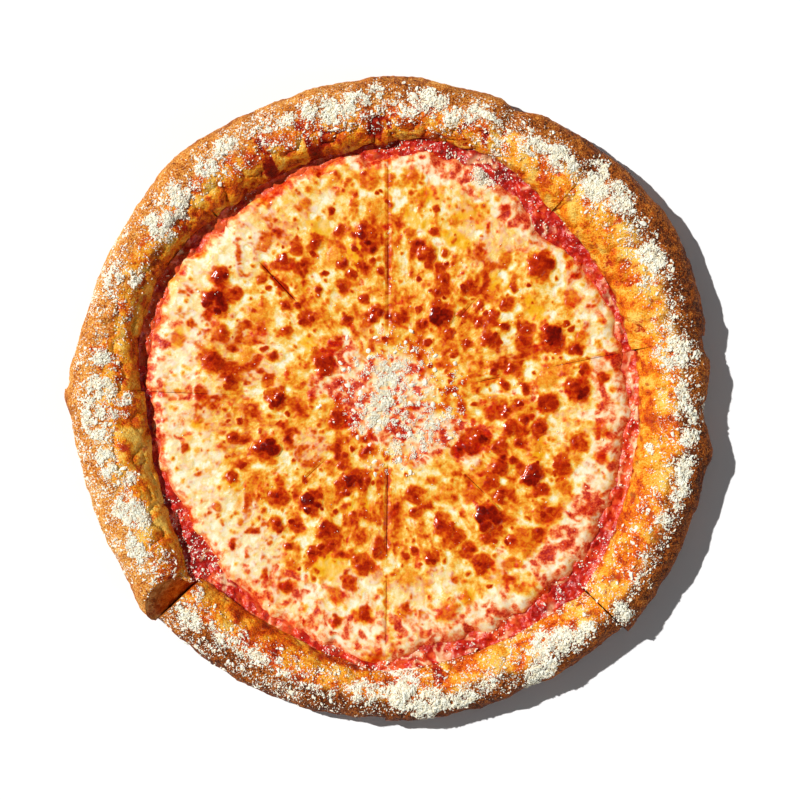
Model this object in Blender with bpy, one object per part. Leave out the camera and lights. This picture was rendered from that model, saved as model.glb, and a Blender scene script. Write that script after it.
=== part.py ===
"""Cheese pizza, baked and cut into eight slices that still lie together.

Each slice is a wedge of dough with a puffed rim, a layer of tomato sauce on the dough, and a
layer of melted cheese on the sauce. Grated hard cheese lies on the rim and round the middle,
and its largest lumps are fused to the dough and to the melted cheese.

Metres, +Z up. The origin is on the surface that the pizza rests on, in the middle of its outline.
Bearings are in degrees, counterclockwise from +X as seen from above.
"""

import math
import random
from typing import NamedTuple

import bmesh
import bpy
from mathutils import Matrix, Vector, noise

MM = 0.001

# Layers, from the table up
DOUGH_TOP = 7.5 * MM
LAYER_GAP = 0.3 * MM
SAUCE_DEPTH = 1.8 * MM
CHEESE_DEPTH = 3.0 * MM
CHEESE_EDGE_DEPTH = 1.3 * MM

# The plain rim that each slice's own rim is kneaded from
RIM_OUTER = 175 * MM
RIM_CREST = 161 * MM
RIM_INNER = 139 * MM
RIM_FOOT = 167 * MM
RIM_WIDEST = 11 * MM
RIM_HEIGHT = 27 * MM

# How the slices lie
MIDDLE = Vector((0.41 * MM, -0.59 * MM, 0.0))
CUT_GAP = 0.6 * MM
TIP = 1.0 * MM
SLICE_STEPS = 14
CHEESE_STEPS = 13
CHEESE_RINGS = 12
END_CROWDING = 0.55

# How the cutter leaves the rim beside each cut
PINCH_DEPTH = 2.4 * MM
PINCH_LENGTH = 6.0 * MM
RECESS_LENGTH = 24.0 * MM

# Unevenness of the dough and of the melted cheese
RIPPLE_HEIGHT = 1.1 * MM
RIPPLE_OUTLINE = 0.5 * MM
CHEESE_SWELL = 0.9 * MM
CHEESE_SWELL_LENGTH = 22 * MM
CHEESE_EDGE_WANDER = 1.8 * MM
BLISTER_HEIGHT = 1.1 * MM

# Grated hard cheese
RIM_LUMPS = 11
MIDDLE_LUMPS = 6
RIM_LUMP_SIZE = (2.6 * MM, 4.2 * MM)
MIDDLE_LUMP_SIZE = (2.2 * MM, 3.6 * MM)
MIDDLE_REACH = (9 * MM, 42 * MM)
LUMP_SINK = 0.18
SEED = 14

CRUST_COLOUR = (0.66, 0.33, 0.10)
SAUCE_COLOUR = (0.42, 0.02, 0.01)
CHEESE_COLOUR = (0.90, 0.52, 0.16)


class Slice(NamedTuple):
    """One slice. Triples of radii run from its first cut over its middle to its last cut."""

    first_cut: float  # bearing
    last_cut: float  # bearing
    outer: tuple  # mm, radius of the rim's outline
    inner: tuple  # mm, radius of the rim's foot on the inside
    cheese: tuple  # mm, radius of the melted cheese's edge
    crest: float  # mm, height of the rim
    recess: tuple  # mm, how far the rim's top draws back from the first and the last cut
    blisters: tuple  # the browned swellings: bearing, radius in mm, width in mm


SLICES = (
    Slice(11.5, 49, (175.5, 181, 178), (135, 134, 136), (130, 129, 121), 26.5, (1.5, 1.5),
          ((24, 91, 24), (41, 108, 24), (31, 63, 15), (36, 73, 18))),
    Slice(49, 90, (178, 174.5, 175.5), (135, 143, 140), (121, 135, 131), 25.5, (1, 0.6),
          ((61, 52, 17), (66, 67, 18), (56, 70, 15), (75, 84, 18))),
    Slice(90, 133, (175.5, 173, 174.5), (139, 135.5, 136), (131, 132, 129), 27.5, (0.6, 1.5),
          ((97, 88, 20), (125, 91, 24), (115, 95, 14), (97, 48, 15))),
    Slice(133, 178, (174.5, 170, 173.5), (136, 140, 134), (130, 135, 129), 27, (1.5, 0.6),
          ((143, 113, 22), (151, 110, 22), (158, 97, 16), (168, 99, 22), (174, 88, 16))),
    Slice(178, 223.5, (174, 169.5, 175), (132, 132, 144), (128, 128, 126), 28, (1, 13),
          ((202, 72, 22), (194, 86, 16), (181, 62, 14), (208, 97, 18))),
    Slice(223.5, 269.5, (171, 172.5, 173.5), (139, 138, 148), (129, 134, 141), 27, (2, 0.8),
          ((234, 71, 18), (250, 48, 26), (244, 78, 22), (228, 89, 14), (266, 80, 16))),
    Slice(269.5, 316, (175, 173.5, 176), (148, 144, 149), (142, 135, 136), 25, (0.8, 3),
          ((309, 84, 24), (294, 78, 24), (300, 102, 18), (285, 87, 16), (288, 114, 16))),
    Slice(316, 371.5, (180, 177, 174.5), (148, 138, 137), (136, 131, 131), 26, (2.5, 1.5),
          ((333, 88, 22), (347, 68, 16), (329, 71, 18), (341, 102, 18), (365, 101, 18))),
)

# Knobs and folds of the rim: bearing, how far the outline and the crest move in mm, width in degrees
RIM_KNOBS = (
    (350.5, 2.2, 0.5, 2.6),
    (358, -3.6, -1.0, 4.0),
    (38, -1.2, 1.0, 5.0),
    (66, -2.6, -3.6, 2.2),
    (130, 1.4, 0.8, 4.0),
    (115, -0.8, -2.0, 2.4),
    (165, -0.6, -1.4, 4.5),
    (180, 2.4, 0.6, 2.6),
    (220, 1.8, 0.6, 3.0),
    (303, 1.4, 1.2, 5.0),
    (315, 1.4, 0.6, 3.0),
)

# Where the rim carries the most grated cheese: first and last bearing
DUSTED_BEARINGS = (
    (0, 10), (24, 47), (52, 64), (69, 105), (120, 131), (136, 149), (152, 160), (171, 196),
    (199, 217), (226, 252), (255, 283), (297, 314), (319, 346), (352, 360),
)


def through_three(values, share):
    """The curve through the values at shares 0, 0.5 and 1."""
    first, middle, last = values
    return (
        first * (1 - share) * (1 - 2 * share)
        + middle * 4 * share * (1 - share)
        + last * share * (2 * share - 1)
    )


def bearing_of(piece, share):
    """Bearing at a share of the way from a slice's first cut to its last."""
    return piece.first_cut + share * (piece.last_cut - piece.first_cut)


def knobs_at(bearing):
    """How far the knobs and folds move the outline and the crest at a bearing."""
    outline = crest = 0.0
    for at, outward, upward, width in RIM_KNOBS:
        away = (bearing - at + 180) % 360 - 180
        swell = math.exp(-((away / width) ** 2))
        outline += outward * MM * swell
        crest += upward * MM * swell
    return outline, crest


def ripple(bearing, beats, lag):
    """An uneven wave round the pizza, from about -1 to 1."""
    turn = math.radians(bearing)
    return 0.6 * math.sin(beats * turn + lag) + 0.4 * math.sin((beats * 2 + 3) * turn + 2 * lag)


def rim_radii(piece, share):
    """Outer and inner radius of the rim at a share of the slice's width."""
    bearing = bearing_of(piece, share)
    outward, _ = knobs_at(bearing)
    outer = through_three(piece.outer, share) * MM + outward
    outer += RIPPLE_OUTLINE * ripple(bearing, 9, 0.7)
    inner = through_three(piece.inner, share) * MM
    inner += RIPPLE_OUTLINE * ripple(bearing, 11, 2.1)
    return outer, inner


def crest_height(piece, share):
    """Height of the rim, lower at folds and beside the cuts."""
    bearing = bearing_of(piece, share)
    _, upward = knobs_at(bearing)
    span = math.radians(piece.last_cut - piece.first_cut) * RIM_CREST
    pinch = sum(math.exp(-((side * span / PINCH_LENGTH) ** 2)) for side in (share, 1 - share))
    return piece.crest * MM + upward + RIPPLE_HEIGHT * ripple(bearing, 7, 1.3) - PINCH_DEPTH * pinch


def cheese_edge(piece, share):
    """Radius of the melted cheese's edge, which wanders but stays inside the rim."""
    turn = math.radians(bearing_of(piece, share))
    wander = noise.noise(Vector((4 * math.cos(turn), 4 * math.sin(turn), 5.0)))
    wander += 0.5 * noise.noise(Vector((9 * math.cos(turn), 9 * math.sin(turn), 8.0)))
    _, inner = rim_radii(piece, share)
    edge = through_three(piece.cheese, share) * MM + CHEESE_EDGE_WANDER * wander
    return min(edge, inner - 2.5 * MM)


def cheese_relief(piece, bearing, radius):
    """How far the top of the melted cheese swells above its plain level."""
    turn = math.radians(bearing)
    x, y = radius * math.cos(turn), radius * math.sin(turn)
    length = CHEESE_SWELL_LENGTH
    relief = CHEESE_SWELL * noise.noise(Vector((x / length, y / length, 2.0)))
    for at, far, width in piece.blisters:
        blister = math.radians(at)
        away = math.hypot(x - far * MM * math.cos(blister), y - far * MM * math.sin(blister))
        relief += BLISTER_HEIGHT * math.exp(-((away / (0.36 * width * MM)) ** 2))
    return relief


def rim_section(turn):
    """Point of the plain rim's section. It runs from the outer foot, -60, over the widest point,
    0, and the crest, 90, to the inner foot, 180."""
    lean = math.radians(turn)
    across, up = math.cos(lean), math.sin(lean)
    if turn <= 90:
        out = RIM_OUTER - RIM_CREST
        rise = RIM_HEIGHT - RIM_WIDEST if turn > 0 else RIM_WIDEST
        return RIM_CREST + out * across**0.85, RIM_WIDEST + rise * math.copysign(abs(up) ** 0.95, up)
    inward = RIM_CREST - RIM_INNER
    base = DOUGH_TOP + 1.0 * MM
    return RIM_CREST + inward * across, base + (RIM_HEIGHT - base) * up**0.9


def knead(piece, share, radius, height):
    """Moves a point of the plain slice to its place in this slice, in the slice's own frame, where
    the tip is at the origin and the first cut runs along +X."""
    outer, inner = rim_radii(piece, share)
    if radius <= RIM_INNER:
        far = radius * inner / RIM_INNER
    else:
        far = inner + (radius - RIM_INNER) * (outer - inner) / (RIM_OUTER - RIM_INNER)
    rise = min(1.0, max(0.0, (height - DOUGH_TOP) / (RIM_HEIGHT - DOUGH_TOP)))
    on_rim = min(1.0, max(0.0, (radius - RIM_INNER) / (4 * MM)))
    level = height + on_rim * rise * (crest_height(piece, share) - RIM_HEIGHT)
    span = math.radians(piece.last_cut - piece.first_cut)
    angle = share * span
    for side, sign, recess in ((share, 1, piece.recess[0]), (1 - share, -1, piece.recess[1])):
        fade = max(0.0, 1 - side * span * far / RECESS_LENGTH) ** 2
        angle += sign * recess * MM * rise * on_rim * fade / max(far, TIP)
    return Vector((far * math.cos(angle), far * math.sin(angle), level))


def spun_slice(profile, piece, steps, place):
    """Turns a closed profile through the slice's angle and moves each point by place(share, radius,
    height). The columns crowd towards the cuts, where the rim changes fastest."""
    span = math.radians(piece.last_cut - piece.first_cut)
    bm = bmesh.new()
    corners = [bm.verts.new((radius, 0.0, height)) for radius, height in profile]
    face = bm.faces.new(corners)
    bmesh.ops.spin(
        bm, geom=[face, *face.edges, *face.verts], cent=(0, 0, 0), axis=(0, 0, 1),
        angle=span, steps=steps, use_duplicate=False,
    )
    bmesh.ops.remove_doubles(bm, verts=bm.verts, dist=0.01 * MM)
    for vert in bm.verts:
        even = min(1.0, max(0.0, math.atan2(vert.co.y, vert.co.x) / span))
        crowded = 0.5 - 0.5 * math.cos(math.pi * even)
        share = even + END_CROWDING * (crowded - even)
        vert.co = place(share, math.hypot(vert.co.x, vert.co.y), vert.co.z)
    bmesh.ops.recalc_face_normals(bm, faces=bm.faces)
    return bm


def object_from(bm, name, material):
    """Writes a bmesh to a new object with the material, linked to the pizza's collection."""
    mesh = bpy.data.meshes.new(name)
    bm.to_mesh(mesh)
    bm.free()
    mesh.materials.append(material)
    made = bpy.data.objects.new(name, mesh)
    bpy.data.collections["cheese_pizza"].objects.link(made)
    return made


def lump(centre, size, draw):
    """A crumb of grated cheese: an icosahedron, stretched and knocked out of shape."""
    bm = bmesh.new()
    bmesh.ops.create_icosphere(bm, subdivisions=1, radius=size / 2)
    for vert in bm.verts:
        vert.co *= draw.uniform(0.8, 1.12)
    stretch = Matrix.Diagonal((draw.uniform(0.75, 1.25), draw.uniform(0.75, 1.1), 0.8, 1))
    turn = Matrix.Rotation(draw.uniform(0, math.tau), 4, Vector((draw.random(), draw.random(), 1)))
    bmesh.ops.transform(bm, matrix=Matrix.Translation(centre) @ turn @ stretch, verts=bm.verts)
    mesh = bpy.data.meshes.new("lump")
    bm.to_mesh(mesh)
    bm.free()
    return bpy.data.objects.new("lump", mesh)


def fuse(base, lumps):
    """Joins the lumps to the base by one Boolean union on their collection, then removes them."""
    group = bpy.data.collections.new("lumps")
    bpy.context.scene.collection.children.link(group)
    for piece in lumps:
        group.objects.link(piece)
    union = base.modifiers.new("fuse", "BOOLEAN")
    union.operation = "UNION"
    union.operand_type = "COLLECTION"
    union.collection = group
    union.solver = "EXACT"
    with bpy.context.temp_override(object=base, active_object=base):
        bpy.ops.object.modifier_apply(modifier=union.name)
    for piece in lumps:
        bpy.data.meshes.remove(piece.data)
    bpy.data.collections.remove(group)


def dusted(bearing):
    """True where the rim carries the most grated cheese."""
    return any(first <= bearing % 360 <= last for first, last in DUSTED_BEARINGS)


def rim_lumps(piece, draw):
    """The largest lumps of grated cheese on a slice's rim, along the dusted band at its crest."""
    lumps = []
    margin = 0.045
    for place in range(RIM_LUMPS):
        for _ in range(6):
            share = margin + (1 - 2 * margin) * (place + draw.random()) / RIM_LUMPS
            if dusted(bearing_of(piece, share)):
                break
        else:
            continue
        radius, height = rim_section(draw.uniform(62, 122))
        size = draw.uniform(*RIM_LUMP_SIZE)
        centre = knead(piece, share, radius, height - LUMP_SINK * size)
        lumps.append(lump(centre, size, draw))
    return lumps


def middle_lumps(piece, top, draw):
    """The largest lumps of grated cheese on a slice's melted cheese, near the tip."""
    lumps = []
    span = math.radians(piece.last_cut - piece.first_cut)
    near, far = MIDDLE_REACH
    for place in range(MIDDLE_LUMPS):
        radius = near + (far - near) * (place + draw.random()) / MIDDLE_LUMPS
        size = draw.uniform(*MIDDLE_LUMP_SIZE)
        clear = size / radius
        angle = draw.uniform(clear, span - clear)
        height = top(angle / span, radius) - LUMP_SINK * size
        centre = Vector((radius * math.cos(angle), radius * math.sin(angle), height))
        lumps.append(lump(centre, size, draw))
    return lumps


def crust(piece, number, material, draw):
    """A slice's dough: a flat wedge with the rim, and the grated cheese on the rim."""
    outer_turns = (-52, -34, -16, 0, 22, 45, 68)
    inner_turns = (90, 108, 124, 139, 153, 166, 180)
    rim = [rim_section(turn) for turn in outer_turns + inner_turns]
    profile = [(TIP, 0.0), (RIM_FOOT, 0.0), *rim, (RIM_INNER, DOUGH_TOP), (TIP, DOUGH_TOP)]
    bm = spun_slice(
        profile, piece, SLICE_STEPS,
        lambda share, radius, height: knead(piece, share, radius, height),
    )
    made = object_from(bm, f"crust_{number}", material)
    fuse(made, rim_lumps(piece, draw))
    return made


def sauce(piece, number, material):
    """A slice's sauce: a layer from the tip to the foot of the rim, crowned where it shows."""
    bottom = DOUGH_TOP + LAYER_GAP
    top = bottom + SAUCE_DEPTH
    edge = RIM_INNER - 0.6 * MM
    profile = [
        (TIP, bottom), (edge, bottom), (edge, top - 0.9 * MM), (edge - 2 * MM, top),
        (edge - 8 * MM, top), (TIP, top),
    ]
    bm = spun_slice(
        profile, piece, SLICE_STEPS,
        lambda share, radius, height: knead(piece, share, radius, height),
    )
    return object_from(bm, f"sauce_{number}", material)


def cheese(piece, number, material, draw):
    """A slice's melted cheese, swollen at its blisters and thinner at its edge."""
    bottom = DOUGH_TOP + SAUCE_DEPTH + 2 * LAYER_GAP
    plain_edge = 1.0
    span = math.radians(piece.last_cut - piece.first_cut)

    def top(share, radius):
        edge = cheese_edge(piece, share)
        fade = min(1.0, max(0.0, (edge - radius) / (7 * MM)))
        depth = CHEESE_EDGE_DEPTH + (CHEESE_DEPTH - CHEESE_EDGE_DEPTH) * fade**0.5
        return bottom + depth + fade * cheese_relief(piece, bearing_of(piece, share), radius)

    def place(share, part, height):
        edge = cheese_edge(piece, share)
        radius = TIP + (part - TIP) * (edge - TIP) / (plain_edge - TIP)
        angle = share * span
        level = top(share, radius) if height > bottom else bottom
        return Vector((radius * math.cos(angle), radius * math.sin(angle), level))

    rings = [TIP + (plain_edge - TIP) * (1 - ring / CHEESE_RINGS) for ring in range(CHEESE_RINGS)]
    profile = [(TIP, bottom), (plain_edge, bottom)]
    profile += [(part, bottom + CHEESE_DEPTH) for part in (*rings, TIP)]
    made = object_from(spun_slice(profile, piece, CHEESE_STEPS, place), f"cheese_{number}", material)
    fuse(made, middle_lumps(piece, top, draw))
    return made


def food_material(name, colour, roughness):
    """A plain Principled material of one colour."""
    material = bpy.data.materials.new(name)
    material.use_nodes = True
    shader = material.node_tree.nodes["Principled BSDF"]
    shader.inputs["Base Color"].default_value = (*colour, 1)
    shader.inputs["Roughness"].default_value = roughness
    shader.inputs["Metallic"].default_value = 0.0
    material.diffuse_color = (*colour, 1)
    return material


def build():
    """Makes the slices, and sets each beside its neighbours with the cut's gap between them."""
    for old in list(bpy.data.objects):
        bpy.data.objects.remove(old)
    collection = bpy.data.collections.new("cheese_pizza")
    bpy.context.scene.collection.children.link(collection)
    pizza = bpy.data.objects.new("pizza", None)
    pizza.location = MIDDLE
    collection.objects.link(pizza)
    baked = food_material("crust", CRUST_COLOUR, 0.75)
    tomato = food_material("sauce", SAUCE_COLOUR, 0.3)
    melted = food_material("cheese", CHEESE_COLOUR, 0.4)
    draw = random.Random(SEED)
    for number, piece in enumerate(SLICES, start=1):
        layers = (
            crust(piece, number, baked, draw),
            sauce(piece, number, tomato),
            cheese(piece, number, melted, draw),
        )
        half = math.radians(piece.last_cut - piece.first_cut) / 2
        apart = CUT_GAP / 2 / math.sin(half)
        bisector = math.radians(piece.first_cut) + half
        for layer in layers:
            layer.parent = pizza
            layer.location = (apart * math.cos(bisector), apart * math.sin(bisector), 0.0)
            layer.rotation_euler.z = math.radians(piece.first_cut)


build()
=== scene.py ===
"""Looks of a baked cheese pizza whose eight slices lie together.

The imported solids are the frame. Dough, sauce, melted cheese and grated hard cheese are each made
again over their own solid, from the same sizes, with the relief, browning and crumbs of real food.
Metres, +Z up. Bearings are in degrees, counterclockwise from +X as seen from above.
"""

import logging
import math
import random
from dataclasses import dataclass, field
from enum import Enum
from typing import Callable, Sequence

import bmesh
import bpy
import numpy as np
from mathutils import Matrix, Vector, noise


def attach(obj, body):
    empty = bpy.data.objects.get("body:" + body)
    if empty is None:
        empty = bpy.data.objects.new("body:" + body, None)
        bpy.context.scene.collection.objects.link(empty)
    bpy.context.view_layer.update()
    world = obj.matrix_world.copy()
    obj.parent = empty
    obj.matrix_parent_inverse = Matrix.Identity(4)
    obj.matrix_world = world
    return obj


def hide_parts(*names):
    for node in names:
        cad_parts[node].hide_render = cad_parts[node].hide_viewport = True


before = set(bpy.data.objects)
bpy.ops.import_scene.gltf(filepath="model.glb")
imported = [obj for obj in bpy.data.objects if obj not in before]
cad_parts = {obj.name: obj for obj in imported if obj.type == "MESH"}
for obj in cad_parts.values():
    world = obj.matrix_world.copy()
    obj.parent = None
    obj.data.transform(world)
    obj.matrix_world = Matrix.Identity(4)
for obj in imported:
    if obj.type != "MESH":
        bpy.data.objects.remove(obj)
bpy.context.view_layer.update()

log = logging.getLogger("pizza")

MM = 0.001
Array = np.ndarray
Triple = tuple[float, float, float]
Knots = tuple[tuple[float, float], ...]


# Numbers and noise


def linear(red: float, green: float, blue: float) -> tuple[float, float, float, float]:
    """Scene colour of a screen colour.

    Args:
        red: Screen red, 0 to 255.
        green: Screen green, 0 to 255.
        blue: Screen blue, 0 to 255.

    Returns:
        The colour in linear light, with an alpha of 1.
    """
    parts = [c / 255 for c in (red, green, blue)]
    parts = [c / 12.92 if c <= 0.04045 else ((c + 0.055) / 1.055) ** 2.4 for c in parts]
    return (*parts, 1.0)


def smooth(low: float, high: float, value: Array) -> Array:
    """Soft step that is 0 up to low and 1 from high on."""
    part = np.clip((value - low) / (high - low), 0.0, 1.0)
    return part * part * (3 - 2 * part)


def around(knots: Knots, bearing: Array) -> Array:
    """Value at each bearing of a curve round the pizza, through (bearing, value) knots."""
    at, value = zip(*knots)
    return np.interp(bearing, at, value, period=360)


def turned(bearing: Array, middle: float) -> Array:
    """Angle of each bearing from a middle one, from -180 to 180."""
    return (bearing - middle + 180) % 360 - 180


def spot(bearing: float, radius: float) -> tuple[float, float]:
    """How far right and up a place is that has a bearing and a radius."""
    turn = math.radians(bearing)
    return radius * math.cos(turn), radius * math.sin(turn)


class Noise:
    """Smooth seeded noise at arrays of points, from -1 to 1."""

    @staticmethod
    def _corner(x: Array, y: Array, z: Array, seed: int) -> Array:
        """Random value of each lattice point."""
        mixed = (x * 374761393 + y * 668265263 + z * 974634777 + seed * 1013904223) & 0xFFFFFFFF
        mixed = ((mixed ^ (mixed >> 13)) * 1274126177) & 0xFFFFFFFF
        return ((mixed ^ (mixed >> 16)) & 0xFFFF) / 32767.5 - 1.0

    @classmethod
    def at(cls, points: Array, cell: float, seed: int) -> Array:
        """One layer of noise.

        Args:
            points: One point in each row, in metres.
            cell: Size of the noise's features, in metres.
            seed: Picks the pattern.

        Returns:
            One value for each point.
        """
        scaled = points / cell + 7.31 * seed
        low = np.floor(scaled).astype(np.int64)
        part = scaled - low
        part = part**3 * (part * (part * 6 - 15) + 10)
        total = np.zeros(len(points))
        for corner in range(8):
            step = np.array((corner & 1, corner >> 1 & 1, corner >> 2))
            weight = np.where(step, part, 1 - part).prod(axis=1)
            total += weight * cls._corner(*(low + step).T, seed)
        return total

    @classmethod
    def layers(cls, points: Array, cell: float, seed: int, count: int = 3) -> Array:
        """Several layers of noise, each half as large and half as strong as the one before."""
        total = np.zeros(len(points))
        for layer in range(count):
            total += 0.5**layer * cls.at(points, cell / 2**layer, seed + layer)
        return total


def streaked(bearing: Array, radius: Array, per_turn: float, length: float) -> Array:
    """Coordinates in which unit noise makes streaks that run outwards from the middle.

    Args:
        bearing: Bearing of each point.
        radius: Radius of each point, in millimetres.
        per_turn: How many streaks there are in a whole turn.
        length: Length of a streak, in millimetres.

    Returns:
        One point in each row.
    """
    turn = np.radians(bearing)
    ring = per_turn / math.tau
    return np.stack((ring * np.cos(turn), ring * np.sin(turn), radius / length), axis=-1)


# The pizza's sizes, as its solids have them


@dataclass(frozen=True)
class Slice:
    """One slice. Triples of millimetres run from its first cut over its middle to its last cut.

    Fields:
        number: The slice's place, counterclockwise.
        cuts: Bearings of the first and the last cut.
        outer: Radius of the rim's outline.
        inner: Radius of the rim's foot on the inside.
        cheese: Radius of the melted cheese's edge.
        crest: Height of the rim in millimetres.
        recess: How far the rim's top draws back from the first and the last cut. The solids draw
            back a little more, where baked dough has closed the gap again.
        blisters: Browned swellings, as bearing, radius and width.
    """

    number: int
    cuts: tuple[float, float]
    outer: Triple
    inner: Triple
    cheese: Triple
    crest: float
    recess: tuple[float, float]
    blisters: tuple[Triple, ...]

    @property
    def span(self) -> float:
        """Angle between the cuts, in radians."""
        return math.radians(self.cuts[1] - self.cuts[0])

    def bearing(self, share: Array) -> Array:
        """Bearing at a share of the way from the first cut to the last."""
        return self.cuts[0] + share * (self.cuts[1] - self.cuts[0])


SLICES = (
    Slice(1, (11.5, 49), (175.5, 181, 178), (135, 134, 136), (130, 129, 121), 26.5, (0, 0),
          ((24, 91, 24), (41, 108, 24), (31, 63, 15), (36, 73, 18))),
    Slice(2, (49, 90), (178, 174.5, 175.5), (135, 143, 140), (121, 135, 131), 25.5, (0, 0),
          ((61, 52, 17), (66, 67, 18), (56, 70, 15), (75, 84, 18))),
    Slice(3, (90, 133), (175.5, 173, 174.5), (139, 135.5, 136), (131, 132, 129), 27.5, (0, 0),
          ((97, 88, 20), (125, 91, 24), (115, 95, 14), (97, 48, 15))),
    Slice(4, (133, 178), (174.5, 170, 173.5), (136, 140, 134), (130, 135, 129), 27, (0, 0),
          ((143, 113, 22), (151, 110, 22), (158, 97, 16), (168, 99, 22), (174, 88, 16))),
    Slice(5, (178, 223.5), (174, 169.5, 175), (132, 132, 144), (128, 128, 126), 28, (0, 13),
          ((202, 72, 22), (194, 86, 16), (181, 62, 14), (208, 97, 18))),
    Slice(6, (223.5, 269.5), (171, 172.5, 173.5), (139, 138, 148), (129, 134, 141), 27, (0.8, 0),
          ((234, 71, 18), (250, 48, 26), (244, 78, 22), (228, 89, 14), (266, 80, 16))),
    Slice(7, (269.5, 316), (175, 173.5, 176), (148, 144, 149), (142, 135, 136), 25, (0, 0.4),
          ((309, 84, 24), (294, 78, 24), (300, 102, 18), (285, 87, 16), (288, 114, 16))),
    Slice(8, (316, 371.5), (180, 177, 174.5), (148, 138, 137), (136, 131, 131), 26, (0.3, 0),
          ((333, 88, 22), (347, 68, 16), (329, 71, 18), (341, 102, 18), (365, 101, 18))),
)


@dataclass(frozen=True)
class Form:
    """Sizes and shape rules that the dough, the sauce and the cheese share."""

    middle: tuple[float, float] = (0.41 * MM, -0.59 * MM)
    cut_gap: float = 0.6 * MM
    tip: float = 1.0 * MM
    dough_top: float = 7.5 * MM
    layer_gap: float = 0.3 * MM
    sauce_depth: float = 1.8 * MM
    cheese_depth: float = 3.0 * MM
    cheese_edge_depth: float = 1.3 * MM
    rim_outer: float = 175 * MM
    rim_crest: float = 161 * MM
    rim_inner: float = 139 * MM
    rim_foot: float = 167 * MM
    rim_widest: float = 11 * MM
    rim_height: float = 27 * MM
    rim_blend: float = 4 * MM
    foot_rise: float = 1.0 * MM
    upper_curve: float = 0.95
    outer_curve: float = 0.85
    inner_curve: float = 0.9
    pinch_depth: float = 2.4 * MM
    pinch_length: float = 6.0 * MM
    recess_length: float = 24.0 * MM
    ripple_height: float = 1.1 * MM
    ripple_outline: float = 0.5 * MM
    cheese_swell: float = 0.9 * MM
    cheese_swell_length: float = 22 * MM
    cheese_edge_wander: float = 1.8 * MM
    cheese_edge_margin: float = 2.5 * MM
    blister_height: float = 1.1 * MM
    knobs: tuple[tuple[float, float, float, float], ...] = (
        (350.5, 2.2, 0.5, 2.6), (358, -3.6, -1.0, 4.0), (38, -1.2, 1.0, 5.0),
        (66, -2.6, -3.6, 2.2), (130, 1.4, 0.8, 4.0), (115, -0.8, -2.0, 2.4),
        (165, -0.6, -1.4, 4.5), (180, 2.4, 0.6, 2.6), (220, 1.8, 0.6, 3.0),
        (303, 1.4, 1.2, 5.0), (315, 1.4, 0.6, 3.0),
    )

    @staticmethod
    def through_three(values: Triple, share: Array) -> Array:
        """Curve through the values at shares 0, 0.5 and 1."""
        first, middle, last = values
        return (
            first * (1 - share) * (1 - 2 * share)
            + middle * 4 * share * (1 - share)
            + last * share * (2 * share - 1)
        )

    @staticmethod
    def ripple(bearing: Array, beats: int, lag: float) -> Array:
        """Uneven wave round the pizza, from about -1 to 1."""
        turn = np.radians(bearing)
        wave = 0.6 * np.sin(beats * turn + lag)
        return wave + 0.4 * np.sin((beats * 2 + 3) * turn + 2 * lag)

    def knobs_at(self, bearing: Array) -> tuple[Array, Array]:
        """How far the knobs and folds of the rim move its outline and its crest."""
        outline = np.zeros_like(bearing, dtype=float)
        crest = np.zeros_like(bearing, dtype=float)
        for at, outward, upward, width in self.knobs:
            away = turned(bearing, at)
            swell = np.exp(-((away / width) ** 2)) * MM
            outline = outline + outward * swell
            crest = crest + upward * swell
        return outline, crest

    def radii(self, piece: Slice, share: Array) -> tuple[Array, Array]:
        """Outer and inner radius of the rim."""
        bearing = piece.bearing(share)
        outward, _ = self.knobs_at(bearing)
        outer = self.through_three(piece.outer, share) * MM + outward
        outer = outer + self.ripple_outline * self.ripple(bearing, 9, 0.7)
        inner = self.through_three(piece.inner, share) * MM
        return outer, inner + self.ripple_outline * self.ripple(bearing, 11, 2.1)

    def crest(self, piece: Slice, share: Array) -> Array:
        """Height of the rim, lower at folds and beside the cuts, where it meets its neighbour's."""
        bearing = piece.bearing(share)
        _, upward = self.knobs_at(bearing)
        length = piece.span * self.rim_crest / self.pinch_length
        pinch = np.exp(-((share * length) ** 2)) + np.exp(-(((1 - share) * length) ** 2))
        height = piece.crest * MM + upward + self.ripple_height * self.ripple(bearing, 7, 1.3)
        for side, step in ((share, -1), (1 - share, 1)):
            other = SLICES[(piece.number - 1 + step) % len(SLICES)].crest
            merge = np.exp(-((side * length / 2) ** 2))
            height = height + 0.5 * (other - piece.crest) * MM * merge
        return height - self.pinch_depth * pinch

    def cheese_edge(self, piece: Slice, share: Array) -> Array:
        """Radius of the melted cheese's edge."""
        share = np.atleast_1d(share)
        turn = np.radians(piece.bearing(share))
        x, y = np.cos(turn), np.sin(turn)
        wander = np.array([
            noise.noise((4 * a, 4 * b, 5.0)) + 0.5 * noise.noise((9 * a, 9 * b, 8.0))
            for a, b in zip(x, y)
        ])
        _, inner = self.radii(piece, share)
        edge = self.through_three(piece.cheese, share) * MM + self.cheese_edge_wander * wander
        return np.minimum(edge, inner - self.cheese_edge_margin)

    def section(self, turn: float) -> tuple[float, float]:
        """Point of the plain rim's section.

        Args:
            turn: From -60 at the outer foot over 0, the widest point, and 90, the crest, to 180
                at the inner foot.

        Returns:
            Radius and height.
        """
        lean = math.radians(turn)
        across, up = math.cos(lean), math.sin(lean)
        if turn <= 90:
            out = self.rim_outer - self.rim_crest
            rise = self.rim_height - self.rim_widest if turn > 0 else self.rim_widest
            height = self.rim_widest + rise * math.copysign(abs(up) ** self.upper_curve, up)
            return self.rim_crest + out * abs(across) ** self.outer_curve, height
        base = self.dough_top + self.foot_rise
        inward = self.rim_crest - self.rim_inner
        height = base + (self.rim_height - base) * abs(up) ** self.inner_curve
        return self.rim_crest + inward * across, height

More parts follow.
